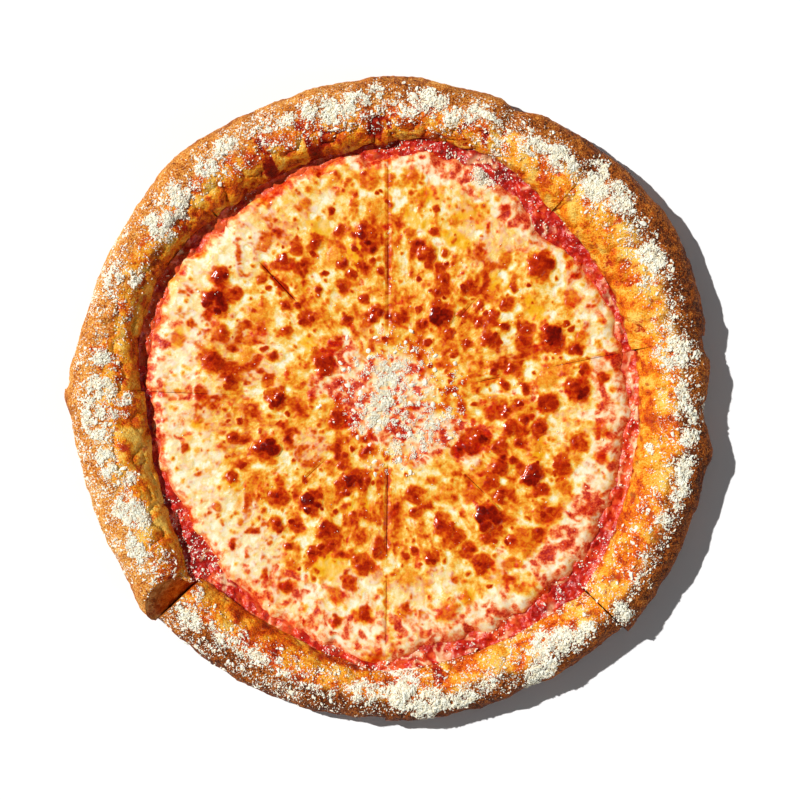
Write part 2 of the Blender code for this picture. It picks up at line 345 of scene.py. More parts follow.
    def knead(self, piece: Slice, share: Array, radius: Array, height: Array) -> Array:
        """Moves points of the plain slice to their places.

        Args:
            piece: The slice.
            share: Share of the slice's width, from its first cut.
            radius: Radius on the plain slice.
            height: Height on the plain slice.

        Returns:
            One point in each row, in the slice's own frame, with its first cut along +X.
        """
        outer, inner = self.radii(piece, share)
        on_rim = inner + (radius - self.rim_inner) * (outer - inner) / (
            self.rim_outer - self.rim_inner
        )
        far = np.where(radius <= self.rim_inner, radius * inner / self.rim_inner, on_rim)
        rise = np.clip((height - self.dough_top) / (self.rim_height - self.dough_top), 0, 1)
        rim = np.clip((radius - self.rim_inner) / self.rim_blend, 0, 1)
        level = height + rim * rise * (self.crest(piece, share) - self.rim_height)
        angle = share * piece.span
        for side, sign, recess in ((share, 1, piece.recess[0]), (1 - share, -1, piece.recess[1])):
            fade = np.clip(1 - side * piece.span * far / self.recess_length, 0, 1) ** 2
            angle = angle + sign * recess * MM * rise * rim * fade / np.maximum(far, self.tip)
        return np.stack((far * np.cos(angle), far * np.sin(angle), level), axis=-1)

    def place(self, piece: Slice, points: Array) -> Array:
        """Turns and shifts points from the slice's own frame to the pizza's."""
        first = math.radians(piece.cuts[0])
        apart = self.cut_gap / 2 / math.sin(piece.span / 2)
        bisector = first + piece.span / 2
        x = points[..., 0] * math.cos(first) - points[..., 1] * math.sin(first)
        y = points[..., 0] * math.sin(first) + points[..., 1] * math.cos(first)
        x = x + apart * math.cos(bisector) + self.middle[0]
        y = y + apart * math.sin(bisector) + self.middle[1]
        return np.stack((x, y, points[..., 2]), axis=-1)

    def polar(self, points: Array) -> tuple[Array, Array]:
        """Bearing from 0 to 360 and radius in millimetres of points in the pizza's frame."""
        x, y = points[..., 0] - self.middle[0], points[..., 1] - self.middle[1]
        return np.degrees(np.arctan2(y, x)) % 360, np.hypot(x, y) / MM


FORM = Form()


# Places on the pizza, read as bearing and radius in millimetres

PATCH_FADE = 4.0
PATCH_NEAREST = 20.0


@dataclass(frozen=True)
class Patch:
    """A soft-edged stretch between two bearings and two radii.

    Fields:
        bearings: First and last bearing.
        radii: Inner and outer radius in millimetres.
        weight: Strength in its middle.
    """

    bearings: tuple[float, float]
    radii: tuple[float, float]
    weight: float = 1.0

    def at(self, bearing: Array, radius: Array) -> Array:
        """Strength at each place, from 0 to weight."""
        middle = sum(self.bearings) / 2
        half = (self.bearings[1] - self.bearings[0]) / 2
        away = np.abs(turned(bearing, middle)) - half
        across = np.abs(radius - sum(self.radii) / 2) - (self.radii[1] - self.radii[0]) / 2
        along = np.radians(away) * np.maximum(radius, PATCH_NEAREST)
        fade = smooth(PATCH_FADE, -PATCH_FADE, along) * smooth(PATCH_FADE, -PATCH_FADE, across)
        return self.weight * fade


def strongest(patches: Sequence[Patch], bearing: Array, radius: Array) -> Array:
    """Strength of the strongest patch at each place."""
    best = np.zeros(np.shape(bearing))
    for patch in patches:
        best = np.maximum(best, patch.at(bearing, radius))
    return best


class Heat(Enum):
    """How far the oven has taken a browned place of the cheese."""

    GOLDEN = 0.42
    ORANGE = 0.6
    BROWN = 0.86
    DARK = 1.0


# Browned places of the cheese: bearing, radius and width in millimetres
BROWNED: dict[Heat, tuple[Triple, ...]] = {
    Heat.DARK: (
        (59, 55.5, 14), (20.4, 96, 14), (3, 105, 12), (150.6, 108, 14), (98.4, 48, 10),
        (325, 47, 8), (338, 56, 8), (201.6, 72, 14), (233.8, 71, 12), (310, 84.4, 14),
        (332.7, 89, 13), (223.3, 116, 4),
        (143.5, 113, 10), (179.5, 61, 11), (97, 92, 10), (97, 84, 9), (246, 47, 12),
    ),
    Heat.BROWN: (
        (54, 75, 9), (65, 72, 8), (65, 65, 7), (75, 82, 11), (68.5, 86, 5), (41.6, 111, 14),
        (39, 83, 7), (39, 75, 6), (32, 75, 6), (31, 65, 10), (35, 53, 7), (40.5, 65, 7),
        (27, 85, 8), (23, 80, 9), (14.5, 69, 8), (14.6, 59.5, 6), (6.7, 64, 6), (5, 75, 6),
        (66, 46, 7), (47, 50, 6), (82, 45, 6), (46.6, 73, 5), (41.5, 91.5, 5), (49.6, 62, 6),
        (75, 95, 5), (106, 96, 6), (106, 71, 6), (115, 94, 8), (123, 85, 9), (127, 93.5, 10),
        (121.5, 96, 7), (122.6, 71, 6), (158, 97, 8), (167.7, 99, 13), (173.6, 86, 9),
        (171, 66.5, 7), (159, 67, 6), (134.7, 61.4, 10), (137.6, 77, 7), (145.5, 67, 6),
        (250, 30, 9), (307, 93, 9), (321, 72, 10), (352, 75, 8), (68, 78, 7), (232, 66, 9),
        (4, 101, 8), (9, 108, 7), (330, 97, 8),
        (234, 84, 8), (236, 96, 6), (112, 66, 8), (108, 78, 6), (264, 118, 7), (257, 124, 6),
        (311, 103, 8), (318, 110, 8), (325, 107, 10), (15, 106, 9), (337, 66, 9), (342, 75, 8),
        (334, 76, 6), (348, 76, 7), (357, 71, 7), (244, 93, 8), (249, 84, 8), (96, 124, 5),
        (6, 118, 7),
        (136.5, 95, 5), (117, 49, 6), (103, 56.6, 6), (93.6, 70, 5), (193.6, 86.5, 8),
        (193.6, 113, 4), (207, 95, 8), (221.4, 79.4, 12), (252.6, 46.4, 9), (243.8, 53, 10),
        (233.7, 44, 7), (247.4, 31, 8), (202.8, 30, 12), (245, 78, 12), (246.8, 89, 9),
        (228, 91, 8), (267, 82, 9), (261, 90, 12), (241.8, 116, 6), (252.7, 65, 5),
        (294.8, 76, 12), (297, 83, 8), (319.7, 80, 10), (329.5, 72, 9), (347.4, 69, 9),
        (351, 56, 7), (354, 64, 9), (349.6, 83, 9), (347.7, 106, 9), (340, 101, 10),
        (359, 88, 12), (333, 51.6, 14), (285, 54, 10), (283.5, 63, 7), (285, 89, 9),
        (280, 83, 5), (300, 103, 10), (298, 92.5, 8), (145, 102, 7), (150, 40, 14),
    ),
    Heat.ORANGE: (
        (57.6, 94, 7), (29, 113, 10), (83, 92, 6), (80, 113, 10), (100, 109, 5), (122, 126, 6),
        (156.5, 82, 8), (273.6, 115, 8), (285.6, 120, 12), (334, 106, 9), (323, 104, 10),
        (163.4, 119, 8), (292, 116, 6), (255, 110, 8), (262, 118, 7), (240, 104, 7),
        (212, 110, 6), (186, 104, 7), (18, 110, 8), (352, 118, 9), (345, 120, 7), (307, 112, 8),
        (314, 107, 15), (95, 121, 12), (84, 122, 9), (128, 108, 6), (113, 116, 6), (90, 120, 6),
        (70, 104, 7), (50, 100, 8),
    ),
    Heat.GOLDEN: (
        (35, 95, 12), (66, 110, 14), (94, 104, 12), (110, 84, 14), (146, 84, 14), (163, 80, 12),
        (185, 78, 14), (212, 84, 12), (238, 62, 12), (272, 70, 12), (277, 98, 12), (318, 66, 14),
        (340, 84, 14), (8, 88, 14), (356, 74, 12), (302, 60, 12), (90, 58, 12), (128, 58, 12),
    ),
}

# The whitest spots of the cheese: bearing and radius in millimetres
WHITEST_CHEESE = (
    (194, 102), (161, 111), (216, 115), (143, 127), (157, 115), (155, 121), (165, 111), (198, 98),
    (206, 109), (219, 114), (232, 108), (218, 95), (169, 113), (135, 114), (107, 115), (146, 126),
    (226, 115), (130, 110), (200, 118), (212, 111), (151, 124), (218, 122), (204, 115), (231, 116),
    (110, 110), (132, 118), (197, 107), (170, 121), (190, 105), (288, 106),
)

# Stretches of the cheese that stay pale
PALE_CHEESE = (
    *(Patch((at - 2, at + 2), (far - 4, far + 4), 1.0) for at, far in WHITEST_CHEESE),
    Patch((108, 127), (100, 134), 0.35), Patch((126, 150), (98, 136), 0.6),
    Patch((150, 176), (103, 132), 0.6), Patch((182, 210), (96, 131), 0.6),
    Patch((205, 236), (92, 128), 0.65),
    Patch((250, 268), (94, 116), 0.6), Patch((283, 291), (92, 104), 0.7),
    Patch((323, 331), (113, 124), 0.6), Patch((310, 318), (120, 131), 0.5),
    Patch((292, 299), (120, 131), 0.7), Patch((180, 200), (60, 100), 0.3),
    Patch((68, 80), (108, 132), 0.4), Patch((22, 36), (112, 128), 0.5),
    Patch((262, 272), (62, 100), 0.35), Patch((60, 70), (122, 135), 0.6),
    Patch((330, 350), (120, 134), 0.3), Patch((58, 72), (98, 116), 0.55),
    Patch((198, 222), (38, 62), 0.6), Patch((270, 281), (98, 116), 0.55),
    Patch((150, 181), (58, 80), 0.6), Patch((48, 60), (84, 116), 0.4),
    Patch((144, 168), (82, 100), 0.45), Patch((15, 30), (60, 80), 0.35),
)

# Stretches that the sauce has stained red
STAINED_CHEESE = (
    Patch((232, 270), (106, 138), 0.55), Patch((272, 302), (118, 144), 0.8),
    Patch((338, 372), (112, 142), 0.85), Patch((8, 26), (114, 134), 0.5),
    Patch((219, 233), (117, 132), 0.65), Patch((44, 62), (115, 132), 1.0),
    Patch((62, 98), (124, 138), 0.85), Patch((250, 270), (118, 138), 0.8),
    Patch((163, 190), (122, 134), 1.0), Patch((192, 218), (122, 134), 0.6),
    Patch((276, 292), (112, 128), 0.8), Patch((354, 372), (112, 132), 0.6),
    Patch((56, 72), (117, 130), 0.6), Patch((219, 231), (115, 128), 0.6),
    Patch((120, 180), (16, 44), 1.0), Patch((265, 305), (20, 40), 0.5),
    Patch((240, 268), (20, 40), 0.6), Patch((318, 340), (42, 60), 0.9),
    Patch((138, 156), (33, 47), 0.6), Patch((322, 346), (38, 60), 0.7),
    Patch((160, 178), (112, 130), 0.4), Patch((309, 342), (114, 144), 0.95),
    Patch((300, 316), (100, 116), 0.45), Patch((195, 210), (22, 38), 0.5),
    Patch((36, 60), (106, 122), 0.35), Patch((90, 118), (24, 48), 0.35),
    Patch((345, 368), (52, 112), 0.35), Patch((170, 182), (90, 124), 0.5),
    Patch((180, 192), (112, 130), 0.45), Patch((224, 234), (102, 128), 0.45),
    Patch((0, 360), (0, 26), 1.0), Patch((290, 345), (12, 42), 1.0),
)

# Stretches that yellow oil covers
OILY_CHEESE = (
    Patch((139, 151), (48, 60), 0.8), Patch((45, 55), (80, 92), 0.85),
    Patch((61, 73), (90, 101), 0.8), Patch((74, 84), (94, 105), 0.75),
    Patch((108, 116), (96, 108), 0.75), Patch((98, 106), (72, 92), 0.8),
    Patch((28, 37), (88, 98), 0.8), Patch((248, 261), (54, 66), 0.8),
    Patch((338, 348), (83, 93), 0.75),
    Patch((244, 256), (86, 104), 0.9), Patch((60, 86), (94, 122), 0.5),
    Patch((160, 167), (113, 124), 0.8), Patch((289, 295), (112, 120), 0.9),
    Patch((200, 216), (92, 108), 0.5), Patch((186, 196), (98, 116), 0.5),
    Patch((113, 119), (118, 128), 0.7), Patch((330, 345), (70, 84), 0.4),
    Patch((298, 304), (106, 118), 0.7), Patch((40, 56), (78, 94), 0.4),
    Patch((118, 130), (72, 84), 0.4), Patch((216, 224), (96, 106), 0.5),
)

# Grated cheese on the rim: bearing, radius in millimetres, half length in degrees, half width
# in millimetres, and how thickly it lies
DUSTED = (
    (1, 160, 3, 4.5, 0.7), (9.5, 158, 3, 11, 0.8), (16, 157, 3, 6.5, 0.4),
    (24, 155, 2, 6.5, 0.45), (28.5, 162, 2.8, 6.5, 1.0), (33.5, 166, 3, 8, 0.4),
    (42, 166, 4, 7.5, 0.8), (46, 162, 3, 7.5, 1.0), (47.5, 171, 2, 4.5, 0.8),
    (54.5, 162, 4, 6, 1.0), (60, 158.5, 3, 4.5, 0.9), (66, 150, 2, 6.5, 0.6),
    (72, 161, 3.5, 4.5, 0.85), (78, 158, 2, 5.5, 0.75), (82, 163.5, 3, 6.5, 0.75),
    (86.5, 160, 3, 6.5, 0.65), (92, 163.5, 2.4, 8, 0.6), (96, 162, 3, 6, 0.9),
    (101, 159.5, 3, 6.5, 0.9), (105, 162, 2, 5, 0.75), (110, 162, 3, 4, 0.55),
    (115, 159, 2, 5.5, 0.5), (123, 163.5, 3, 5, 0.8), (128, 160, 2, 5.5, 0.8),
    (131.5, 159, 1.5, 4.5, 0.5), (135.5, 158, 2, 7.5, 0.85), (139, 155.5, 3, 7.5, 0.8),
    (143, 157, 2, 7.5, 1.0), (143, 148.5, 1.5, 3.5, 0.7), (148, 158, 3, 5.5, 0.2),
    (154, 152.5, 2, 4, 0.75), (156, 162.5, 3, 4, 0.75), (160, 163.5, 2, 3.5, 0.5),
    (164, 161, 3, 5.5, 0.2), (171.5, 157, 1.6, 5, 0.85), (178, 155.5, 2.5, 8.5, 0.85),
    (179.5, 143, 1.5, 5.5, 0.7), (184, 160, 4, 6.5, 0.95), (182, 146, 2, 5.5, 0.6),
    (192, 156, 3.5, 5, 1.0), (197, 146, 1.5, 4, 0.75), (203, 153.5, 3, 6.5, 1.0),
    (205, 148, 3, 4.5, 0.85), (211, 158, 3, 5, 0.95), (216, 150, 2, 6.5, 0.4),
    (225, 148, 1.6, 5.5, 0.7), (227.5, 160, 3, 4, 0.9), (236, 156.5, 4, 3.8, 0.85),
    (241, 156, 3, 3.8, 0.75), (247, 156, 4, 3.6, 0.65), (257, 161.5, 3, 3.4, 0.6),
    (266, 159, 4, 6, 0.75), (273, 160, 3, 8, 1.0), (277, 166, 3, 7.5, 1.0),
    (274, 150, 3, 4.5, 0.6), (283, 167, 4, 4.5, 0.85), (290, 163.5, 2, 4.5, 0.5),
    (299, 169, 4, 4.5, 0.85), (302, 157, 2.5, 6.5, 1.0), (306, 161, 3, 6.5, 1.0),
    (308, 166, 2, 4.5, 0.85), (311.5, 164.5, 2, 4.5, 0.95), (317.5, 171, 2, 6.5, 0.75),
    (323, 169, 3, 5.5, 0.4), (330, 165, 3, 5, 0.25), (336, 163.5, 2, 4.5, 0.75),
    (342, 166, 3, 4.5, 0.75), (347, 165, 3, 4, 0.8), (349.5, 144.5, 1, 2.5, 0.85),
    (353, 165, 2.5, 4, 0.85), (357, 163.5, 2, 4, 0.65),
)


# Materials


# Places of a colour Mix node's sockets: share, first and second colour, and result
MIX_SHARE, MIX_FIRST, MIX_SECOND, MIX_RESULT = 0, 6, 7, 2
SPECK_SHARPNESS = 6.0


class Painter:
    """Builds the nodes of one procedural material.

    Args:
        name: The material's name.
    """

    def __init__(self, name: str) -> None:
        """Makes the material, and finds its shader and its coordinates."""
        self.material = bpy.data.materials.new(name)
        self.material.use_nodes = True
        self.tree = self.material.node_tree
        self.shader = self.tree.nodes["Principled BSDF"]
        self.coordinates = self.tree.nodes.new("ShaderNodeTexCoord").outputs["Object"]

    def _set(self, socket: bpy.types.NodeSocket, value: object) -> None:
        """Links a socket to another, or gives it a plain value."""
        if isinstance(value, bpy.types.NodeSocket):
            self.tree.links.new(value, socket)
        else:
            socket.default_value = value

    def attribute(self, name: str) -> bpy.types.NodeSocket:
        """The value that the mesh holds under a name."""
        node = self.tree.nodes.new("ShaderNodeAttribute")
        node.attribute_name = name
        return node.outputs["Fac"]

    def noise(self, size: float, detail: float = 2.0, twist: float = 0.0) -> bpy.types.NodeSocket:
        """Noise with features of about size millimetres, from 0 to 1."""
        node = self.tree.nodes.new("ShaderNodeTexNoise")
        self._set(node.inputs["Vector"], self.coordinates)
        node.inputs["Scale"].default_value = 1 / (size * MM)
        node.inputs["Detail"].default_value = detail
        node.inputs["Distortion"].default_value = twist
        return node.outputs["Fac"]

    def math(
        self, operation: str, first: object, second: object, limited: bool = True
    ) -> bpy.types.NodeSocket:
        """Result of a Math node, kept from 0 to 1 where it is limited."""
        node = self.tree.nodes.new("ShaderNodeMath")
        node.operation = operation
        node.use_clamp = limited
        self._set(node.inputs[0], first)
        self._set(node.inputs[1], second)
        return node.outputs[0]

    def add(self, first: object, second: object) -> bpy.types.NodeSocket:
        """Sum, without limits."""
        return self.math("ADD", first, second, limited=False)

    def stirred(
        self, value: object, *patterns: tuple[object, float, float]
    ) -> bpy.types.NodeSocket:
        """A value that patterns push up and down.

        Args:
            value: The value.
            patterns: For each, a pattern from 0 to 1, how far from 0.5 it still counts, and by
                how much it moves the value there.

        Returns:
            The value, without limits.
        """
        for pattern, reach, push in patterns:
            value = self.add(value, self.stretch(pattern, 0.5 - reach, 0.5 + reach, -push, push))
        return value

    def stretch(
        self, value: object, low: float, high: float, to_low: float = 0.0, to_high: float = 1.0
    ) -> bpy.types.NodeSocket:
        """Maps low..high to to_low..to_high, and stops there."""
        node = self.tree.nodes.new("ShaderNodeMapRange")
        self._set(node.inputs["Value"], value)
        node.inputs["From Min"].default_value = low
        node.inputs["From Max"].default_value = high
        node.inputs["To Min"].default_value = to_low
        node.inputs["To Max"].default_value = to_high
        return node.outputs["Result"]

    def ramp(
        self, value: object, stops: Sequence[tuple[float, Triple]]
    ) -> bpy.types.NodeSocket:
        """Colour ramp through stops of place and screen colour."""
        node = self.tree.nodes.new("ShaderNodeValToRGB")
        self._set(node.inputs["Fac"], value)
        elements = node.color_ramp.elements
        first, *others, last = stops
        for element, (place, colour) in ((elements[0], first), (elements[1], last)):
            element.position = place
            element.color = linear(*colour)
        for place, colour in others:
            elements.new(place).color = linear(*colour)
        return node.outputs["Color"]

    def _blend(
        self, mode: str, share: object, first: object, second: object
    ) -> bpy.types.NodeSocket:
        """Result of a colour Mix node. A plain colour is given as a screen colour."""
        node = self.tree.nodes.new("ShaderNodeMix")
        node.data_type = "RGBA"
        node.blend_type = mode
        self._set(node.inputs[MIX_SHARE], share)
        for place, value in ((MIX_FIRST, first), (MIX_SECOND, second)):
            self._set(node.inputs[place], linear(*value) if isinstance(value, tuple) else value)
        return node.outputs[MIX_RESULT]

    def mix(self, share: object, first: object, second: object) -> bpy.types.NodeSocket:
        """Mix of two colours."""
        return self._blend("MIX", share, first, second)

    def tint(self, colour: object, dye: object) -> bpy.types.NodeSocket:
        """A colour seen through a thin layer of another."""
        return self._blend("MULTIPLY", 1.0, colour, dye)

    def group(self, tree: bpy.types.NodeTree, **values: object) -> dict[str, bpy.types.NodeSocket]:
        """Places a node group and gives its outputs by name."""
        node = self.tree.nodes.new("ShaderNodeGroup")
        node.node_tree = tree
        for name, value in values.items():
            self._set(node.inputs[name.replace("_", " ")], value)
        return {socket.name: socket for socket in node.outputs}

    def finish(
        self, colour: object, roughness: object, height: object, depth: float,
        specular: float = 0.5,
    ) -> bpy.types.Material:
        """Feeds the shader.

        Args:
            colour: Base colour.
            roughness: Roughness.
            height: Height of the bump, from 0 to 1.
            depth: How far the bump stands out, in millimetres.
            specular: Level of the shader's reflection.

        Returns:
            The finished material.
        """
        self._set(self.shader.inputs["Base Color"], colour)
        self._set(self.shader.inputs["Roughness"], roughness)
        self.shader.inputs["Specular IOR Level"].default_value = specular
        bump = self.tree.nodes.new("ShaderNodeBump")
        bump.inputs["Strength"].default_value = 1.0
        bump.inputs["Distance"].default_value = depth * MM
        self._set(bump.inputs["Height"], height)
        self.tree.links.new(bump.outputs["Normal"], self.shader.inputs["Normal"])
        return self.material


def speckle_group() -> bpy.types.NodeTree:
    """Shared group: small irregular specks, and the tooth of a cooked surface.

    Returns:
        A group with the inputs Size and Amount and the outputs Specks and Tooth.
    """
    tree = bpy.data.node_groups.new("specks_and_tooth", "ShaderNodeTree")
    for name, value in (("Size", 1000.0), ("Amount", 0.4)):
        socket = tree.interface.new_socket(name, in_out="INPUT", socket_type="NodeSocketFloat")
        socket.default_value = value
    for name in ("Specks", "Tooth"):
        tree.interface.new_socket(name, in_out="OUTPUT", socket_type="NodeSocketFloat")
    entry = tree.nodes.new("NodeGroupInput")
    leave = tree.nodes.new("NodeGroupOutput")
    place = tree.nodes.new("ShaderNodeTexCoord").outputs["Object"]
    cells = tree.nodes.new("ShaderNodeTexVoronoi")
    grain = tree.nodes.new("ShaderNodeTexNoise")
    grain.inputs["Detail"].default_value = 3.0
    for pattern in (cells, grain):
        tree.links.new(place, pattern.inputs["Vector"])
        tree.links.new(entry.outputs["Size"], pattern.inputs["Scale"])
    near, sharp = (tree.nodes.new("ShaderNodeMath") for _ in range(2))
    near.operation, sharp.operation = "SUBTRACT", "MULTIPLY"
    near.use_clamp = sharp.use_clamp = True
    tree.links.new(entry.outputs["Amount"], near.inputs[0])
    tree.links.new(cells.outputs["Distance"], near.inputs[1])
    tree.links.new(near.outputs[0], sharp.inputs[0])
    sharp.inputs[1].default_value = SPECK_SHARPNESS
    tree.links.new(sharp.outputs[0], leave.inputs["Specks"])
    tree.links.new(grain.outputs["Fac"], leave.inputs["Tooth"])
    return tree


@dataclass(frozen=True)
class BakedDough:
    """Finish of the dough: bready tan to dark brown, oily gold on the inside of the rim."""

    specks: bpy.types.NodeTree

    def material(self) -> bpy.types.Material:
        """The dough's material. It reads bake, gold, oily, scorch, smear and crumb."""
        paint = Painter("baked_dough")
        fine = paint.group(self.specks, Size=1100.0, Amount=0.33)
        coarse = paint.noise(3.2, 3)
        tooth = fine["Tooth"]
        bake = paint.stirred(paint.attribute("bake"), (coarse, 0.2, 0.12), (tooth, 0.15, 0.3))
        # bake holds the outer wall's browning and painted shade: the wall is darker on the side away
        # from the key lamp.
        outside = paint.ramp(bake, (
            (0.0, (244, 194, 112)), (0.3, (226, 150, 62)), (0.55, (192, 104, 30)),
            (0.8, (132, 58, 14)), (1.0, (74, 26, 6)),
        ))
        gold = paint.stirred(paint.attribute("gold"), (coarse, 0.2, 0.16), (tooth, 0.15, 0.16))
        inside = paint.ramp(gold, (
            (0.0, (255, 208, 96)), (0.3, (250, 164, 30)), (0.55, (230, 100, 5)),
            (0.8, (182, 46, 1)), (1.0, (126, 18, 1)),
        ))
        colour = paint.mix(paint.attribute("oily"), outside, inside)
        colour = paint.mix(paint.math("MULTIPLY", fine["Specks"], 0.25), colour, (252, 200, 116))
        scorch = paint.attribute("scorch")
        scorch = paint.stirred(scorch, (coarse, 0.2, -0.16), (tooth, 0.15, 0.12))
        burnt = paint.ramp(scorch, (
            (0.1, (236, 120, 18)), (0.4, (206, 64, 4)), (0.7, (156, 22, 1)), (0.95, (108, 6, 0)),
        ))
        colour = paint.mix(paint.stretch(scorch, 0.05, 0.5), colour, burnt)
        red = paint.ramp(coarse, ((0.3, (140, 18, 10)), (0.7, (196, 44, 20))))
        colour = paint.mix(paint.attribute("smear"), colour, red)
        crumb = paint.ramp(paint.stirred(tooth, (coarse, 0.15, 0.25)), (
            (0.2, (150, 66, 20)), (0.5, (206, 128, 56)), (0.8, (240, 184, 110)),
        ))
        colour = paint.mix(paint.attribute("crumb"), colour, crumb)
        rough = paint.stretch(paint.attribute("oily"), 0, 1, 0.72, 0.34)
        height = paint.add(paint.math("MULTIPLY", tooth, 0.7), coarse)
        return paint.finish(colour, rough, height, 1.3, 0.14)


@dataclass(frozen=True)
class WetSauce:
    """Finish of the tomato sauce: deep red, wet, with thin orange places and painted light in the
    rim's shadow.
    """

    specks: bpy.types.NodeTree

    def material(self) -> bpy.types.Material:
        """The sauce's material. It reads thin and cream."""
        paint = Painter("wet_sauce")
        fine = paint.group(self.specks, Size=800.0, Amount=0.3)
        lumps = paint.noise(3.0, 3, 0.4)
        tone = paint.stirred(paint.attribute("thin"), (lumps, 0.2, 0.3))
        # thin also carries painted light: the sauce turns lighter orange where the rim shades it.
        colour = paint.ramp(tone, (
            (0.0, (96, 5, 4)), (0.35, (160, 14, 8)), (0.7, (202, 34, 14)), (1.0, (232, 92, 40)),
        ))
        colour = paint.mix(paint.math("MULTIPLY", fine["Specks"], 0.3), colour, (222, 84, 46))
        cream = paint.ramp(lumps, ((0.35, (244, 150, 92)), (0.6, (250, 216, 168))))
        colour = paint.mix(paint.attribute("cream"), colour, cream)
        rough = paint.stretch(fine["Tooth"], 0.3, 0.7, 0.2, 0.46)
        return paint.finish(colour, rough, paint.add(lumps, fine["Tooth"]), 0.4, 0.42)


@dataclass(frozen=True)
class MeltedCheese:
    """Finish of the melted cheese: cream to orange, with glossy red-brown blisters."""

    specks: bpy.types.NodeTree

    def material(self) -> bpy.types.Material:
        """The cheese's material. It reads browning, pale, stain and oil."""
        paint = Painter("melted_cheese")
        fine = paint.group(self.specks, Size=900.0, Amount=0.3)
        curd = paint.noise(2.6, 3, 0.6)
        tooth = fine["Tooth"]
        heat = paint.stirred(paint.attribute("browning"), (curd, 0.2, 0.1), (tooth, 0.2, 0.05))
        colour = paint.ramp(heat, (
            (0.0, (249, 241, 210)), (0.14, (247, 223, 154)), (0.28, (244, 194, 80)),
            (0.42, (238, 150, 30)), (0.56, (220, 96, 9)), (0.7, (188, 48, 3)),
            (0.86, (144, 20, 1)), (1.0, (98, 8, 1)),
        ))
        pale = paint.ramp(curd, (
            (0.3, (247, 220, 140)), (0.45, (247, 233, 192)), (0.55, (247, 238, 210)),
            (0.7, (248, 242, 224)),
        ))
        colour = paint.mix(paint.attribute("pale"), colour, pale)
        colour = paint.mix(paint.attribute("oil"), colour, (244, 182, 16))
        thin = paint.stirred(paint.stretch(tooth, 0.35, 0.65, 0.75, 1.25), (curd, 0.2, -0.2))
        stain = paint.math("MULTIPLY", paint.attribute("stain"), thin)
        colour = paint.tint(colour, paint.ramp(stain, (
            (0.0, (255, 255, 255)), (0.18, (255, 226, 204)), (0.4, (250, 160, 120)),
            (0.66, (228, 84, 50)), (1.0, (178, 20, 14)),
        )))
        rough = paint.stretch(heat, 0.3, 0.75, 0.4, 0.13)
        rough = paint.add(rough, paint.stretch(tooth, 0.35, 0.65, -0.1, 0.16))
        height = paint.add(curd, paint.math("MULTIPLY", tooth, 0.6))
        height = paint.math("MULTIPLY", height, paint.stretch(heat, 0.45, 0.8, 0.5, 0.18))
        return paint.finish(colour, rough, height, 0.36, 0.28)


@dataclass(frozen=True)
class GratedCheese:
    """Finish of the grated hard cheese: dry and off-white, with a hint of green."""

    specks: bpy.types.NodeTree

    def material(self) -> bpy.types.Material:
        """The grated cheese's material."""
        paint = Painter("grated_cheese")
        fine = paint.group(self.specks, Size=1500.0, Amount=0.2)
        tint = paint.noise(2.0, 1)
        colour = paint.ramp(tint, (
            (0.3, (254, 242, 211)), (0.5, (254, 250, 231)), (0.7, (251, 252, 238)),
        ))
        return paint.finish(colour, 0.62, fine["Tooth"], 0.1, 0.35)


# Meshes


def as_mesh(bm: bmesh.types.BMesh, name: str) -> bpy.types.Mesh:
    """Makes a mesh of a bmesh, and frees the bmesh."""
    mesh = bpy.data.meshes.new(name)
    bm.to_mesh(mesh)
    bm.free()
    return mesh


def turn_outwards(mesh: bpy.types.Mesh, merge: float = 0.0) -> None:
    """Turns every face outwards, once points closer than merge are made one."""
    bm = bmesh.new()
    bm.from_mesh(mesh)
    if merge:
        bmesh.ops.remove_doubles(bm, verts=bm.verts, dist=merge)
    bmesh.ops.recalc_face_normals(bm, faces=bm.faces)
    bm.to_mesh(mesh)
    bm.free()


def shade(mesh: bpy.types.Mesh, sharp: float) -> None:
    """Shades the mesh smooth, but for edges that turn by more than sharp degrees."""
    mesh.shade_smooth()
    mesh.set_sharp_from_angle(angle=math.radians(sharp))


def coordinates(mesh: bpy.types.Mesh) -> Array:
    """The mesh's points, one in each row."""
    flat = np.empty(len(mesh.vertices) * 3)
    mesh.vertices.foreach_get("co", flat)
    return flat.reshape(-1, 3)


def move_points(mesh: bpy.types.Mesh, points: Array) -> None:
    """Moves the mesh's points."""
    mesh.vertices.foreach_set("co", points.astype(np.float32).ravel())
    mesh.update()


def normals(mesh: bpy.types.Mesh) -> Array:
    """The normals at the mesh's points, one in each row."""
    flat = np.empty(len(mesh.vertices) * 3)
    mesh.vertex_normals.foreach_get("vector", flat)
    return flat.reshape(-1, 3)


def paint_points(mesh: bpy.types.Mesh, **values: Array) -> None:
    """Writes named values from 0 to 1 to the mesh's points."""
    for name, value in values.items():
        attribute = mesh.attributes.new(name, "FLOAT", "POINT")
        attribute.data.foreach_set("value", np.clip(value, 0, 1).astype(np.float32))


def point_areas(mesh: bpy.types.Mesh) -> Array:
    """Area of surface round each of the mesh's points."""
    areas = np.zeros(len(mesh.vertices))
    face_area = np.empty(len(mesh.polygons))
    size = np.empty(len(mesh.polygons), dtype=np.int64)
    mesh.polygons.foreach_get("area", face_area)
    mesh.polygons.foreach_get("loop_total", size)
    corner = np.empty(len(mesh.loops), dtype=np.int64)
    mesh.loops.foreach_get("vertex_index", corner)
    np.add.at(areas, corner, np.repeat(face_area / size, size))
    return areas


def add_object(name: str, data: bpy.types.ID) -> bpy.types.Object:
    """Adds an object to the scene."""
    made = bpy.data.objects.new(name, data)
    bpy.context.scene.collection.objects.link(made)
    return made


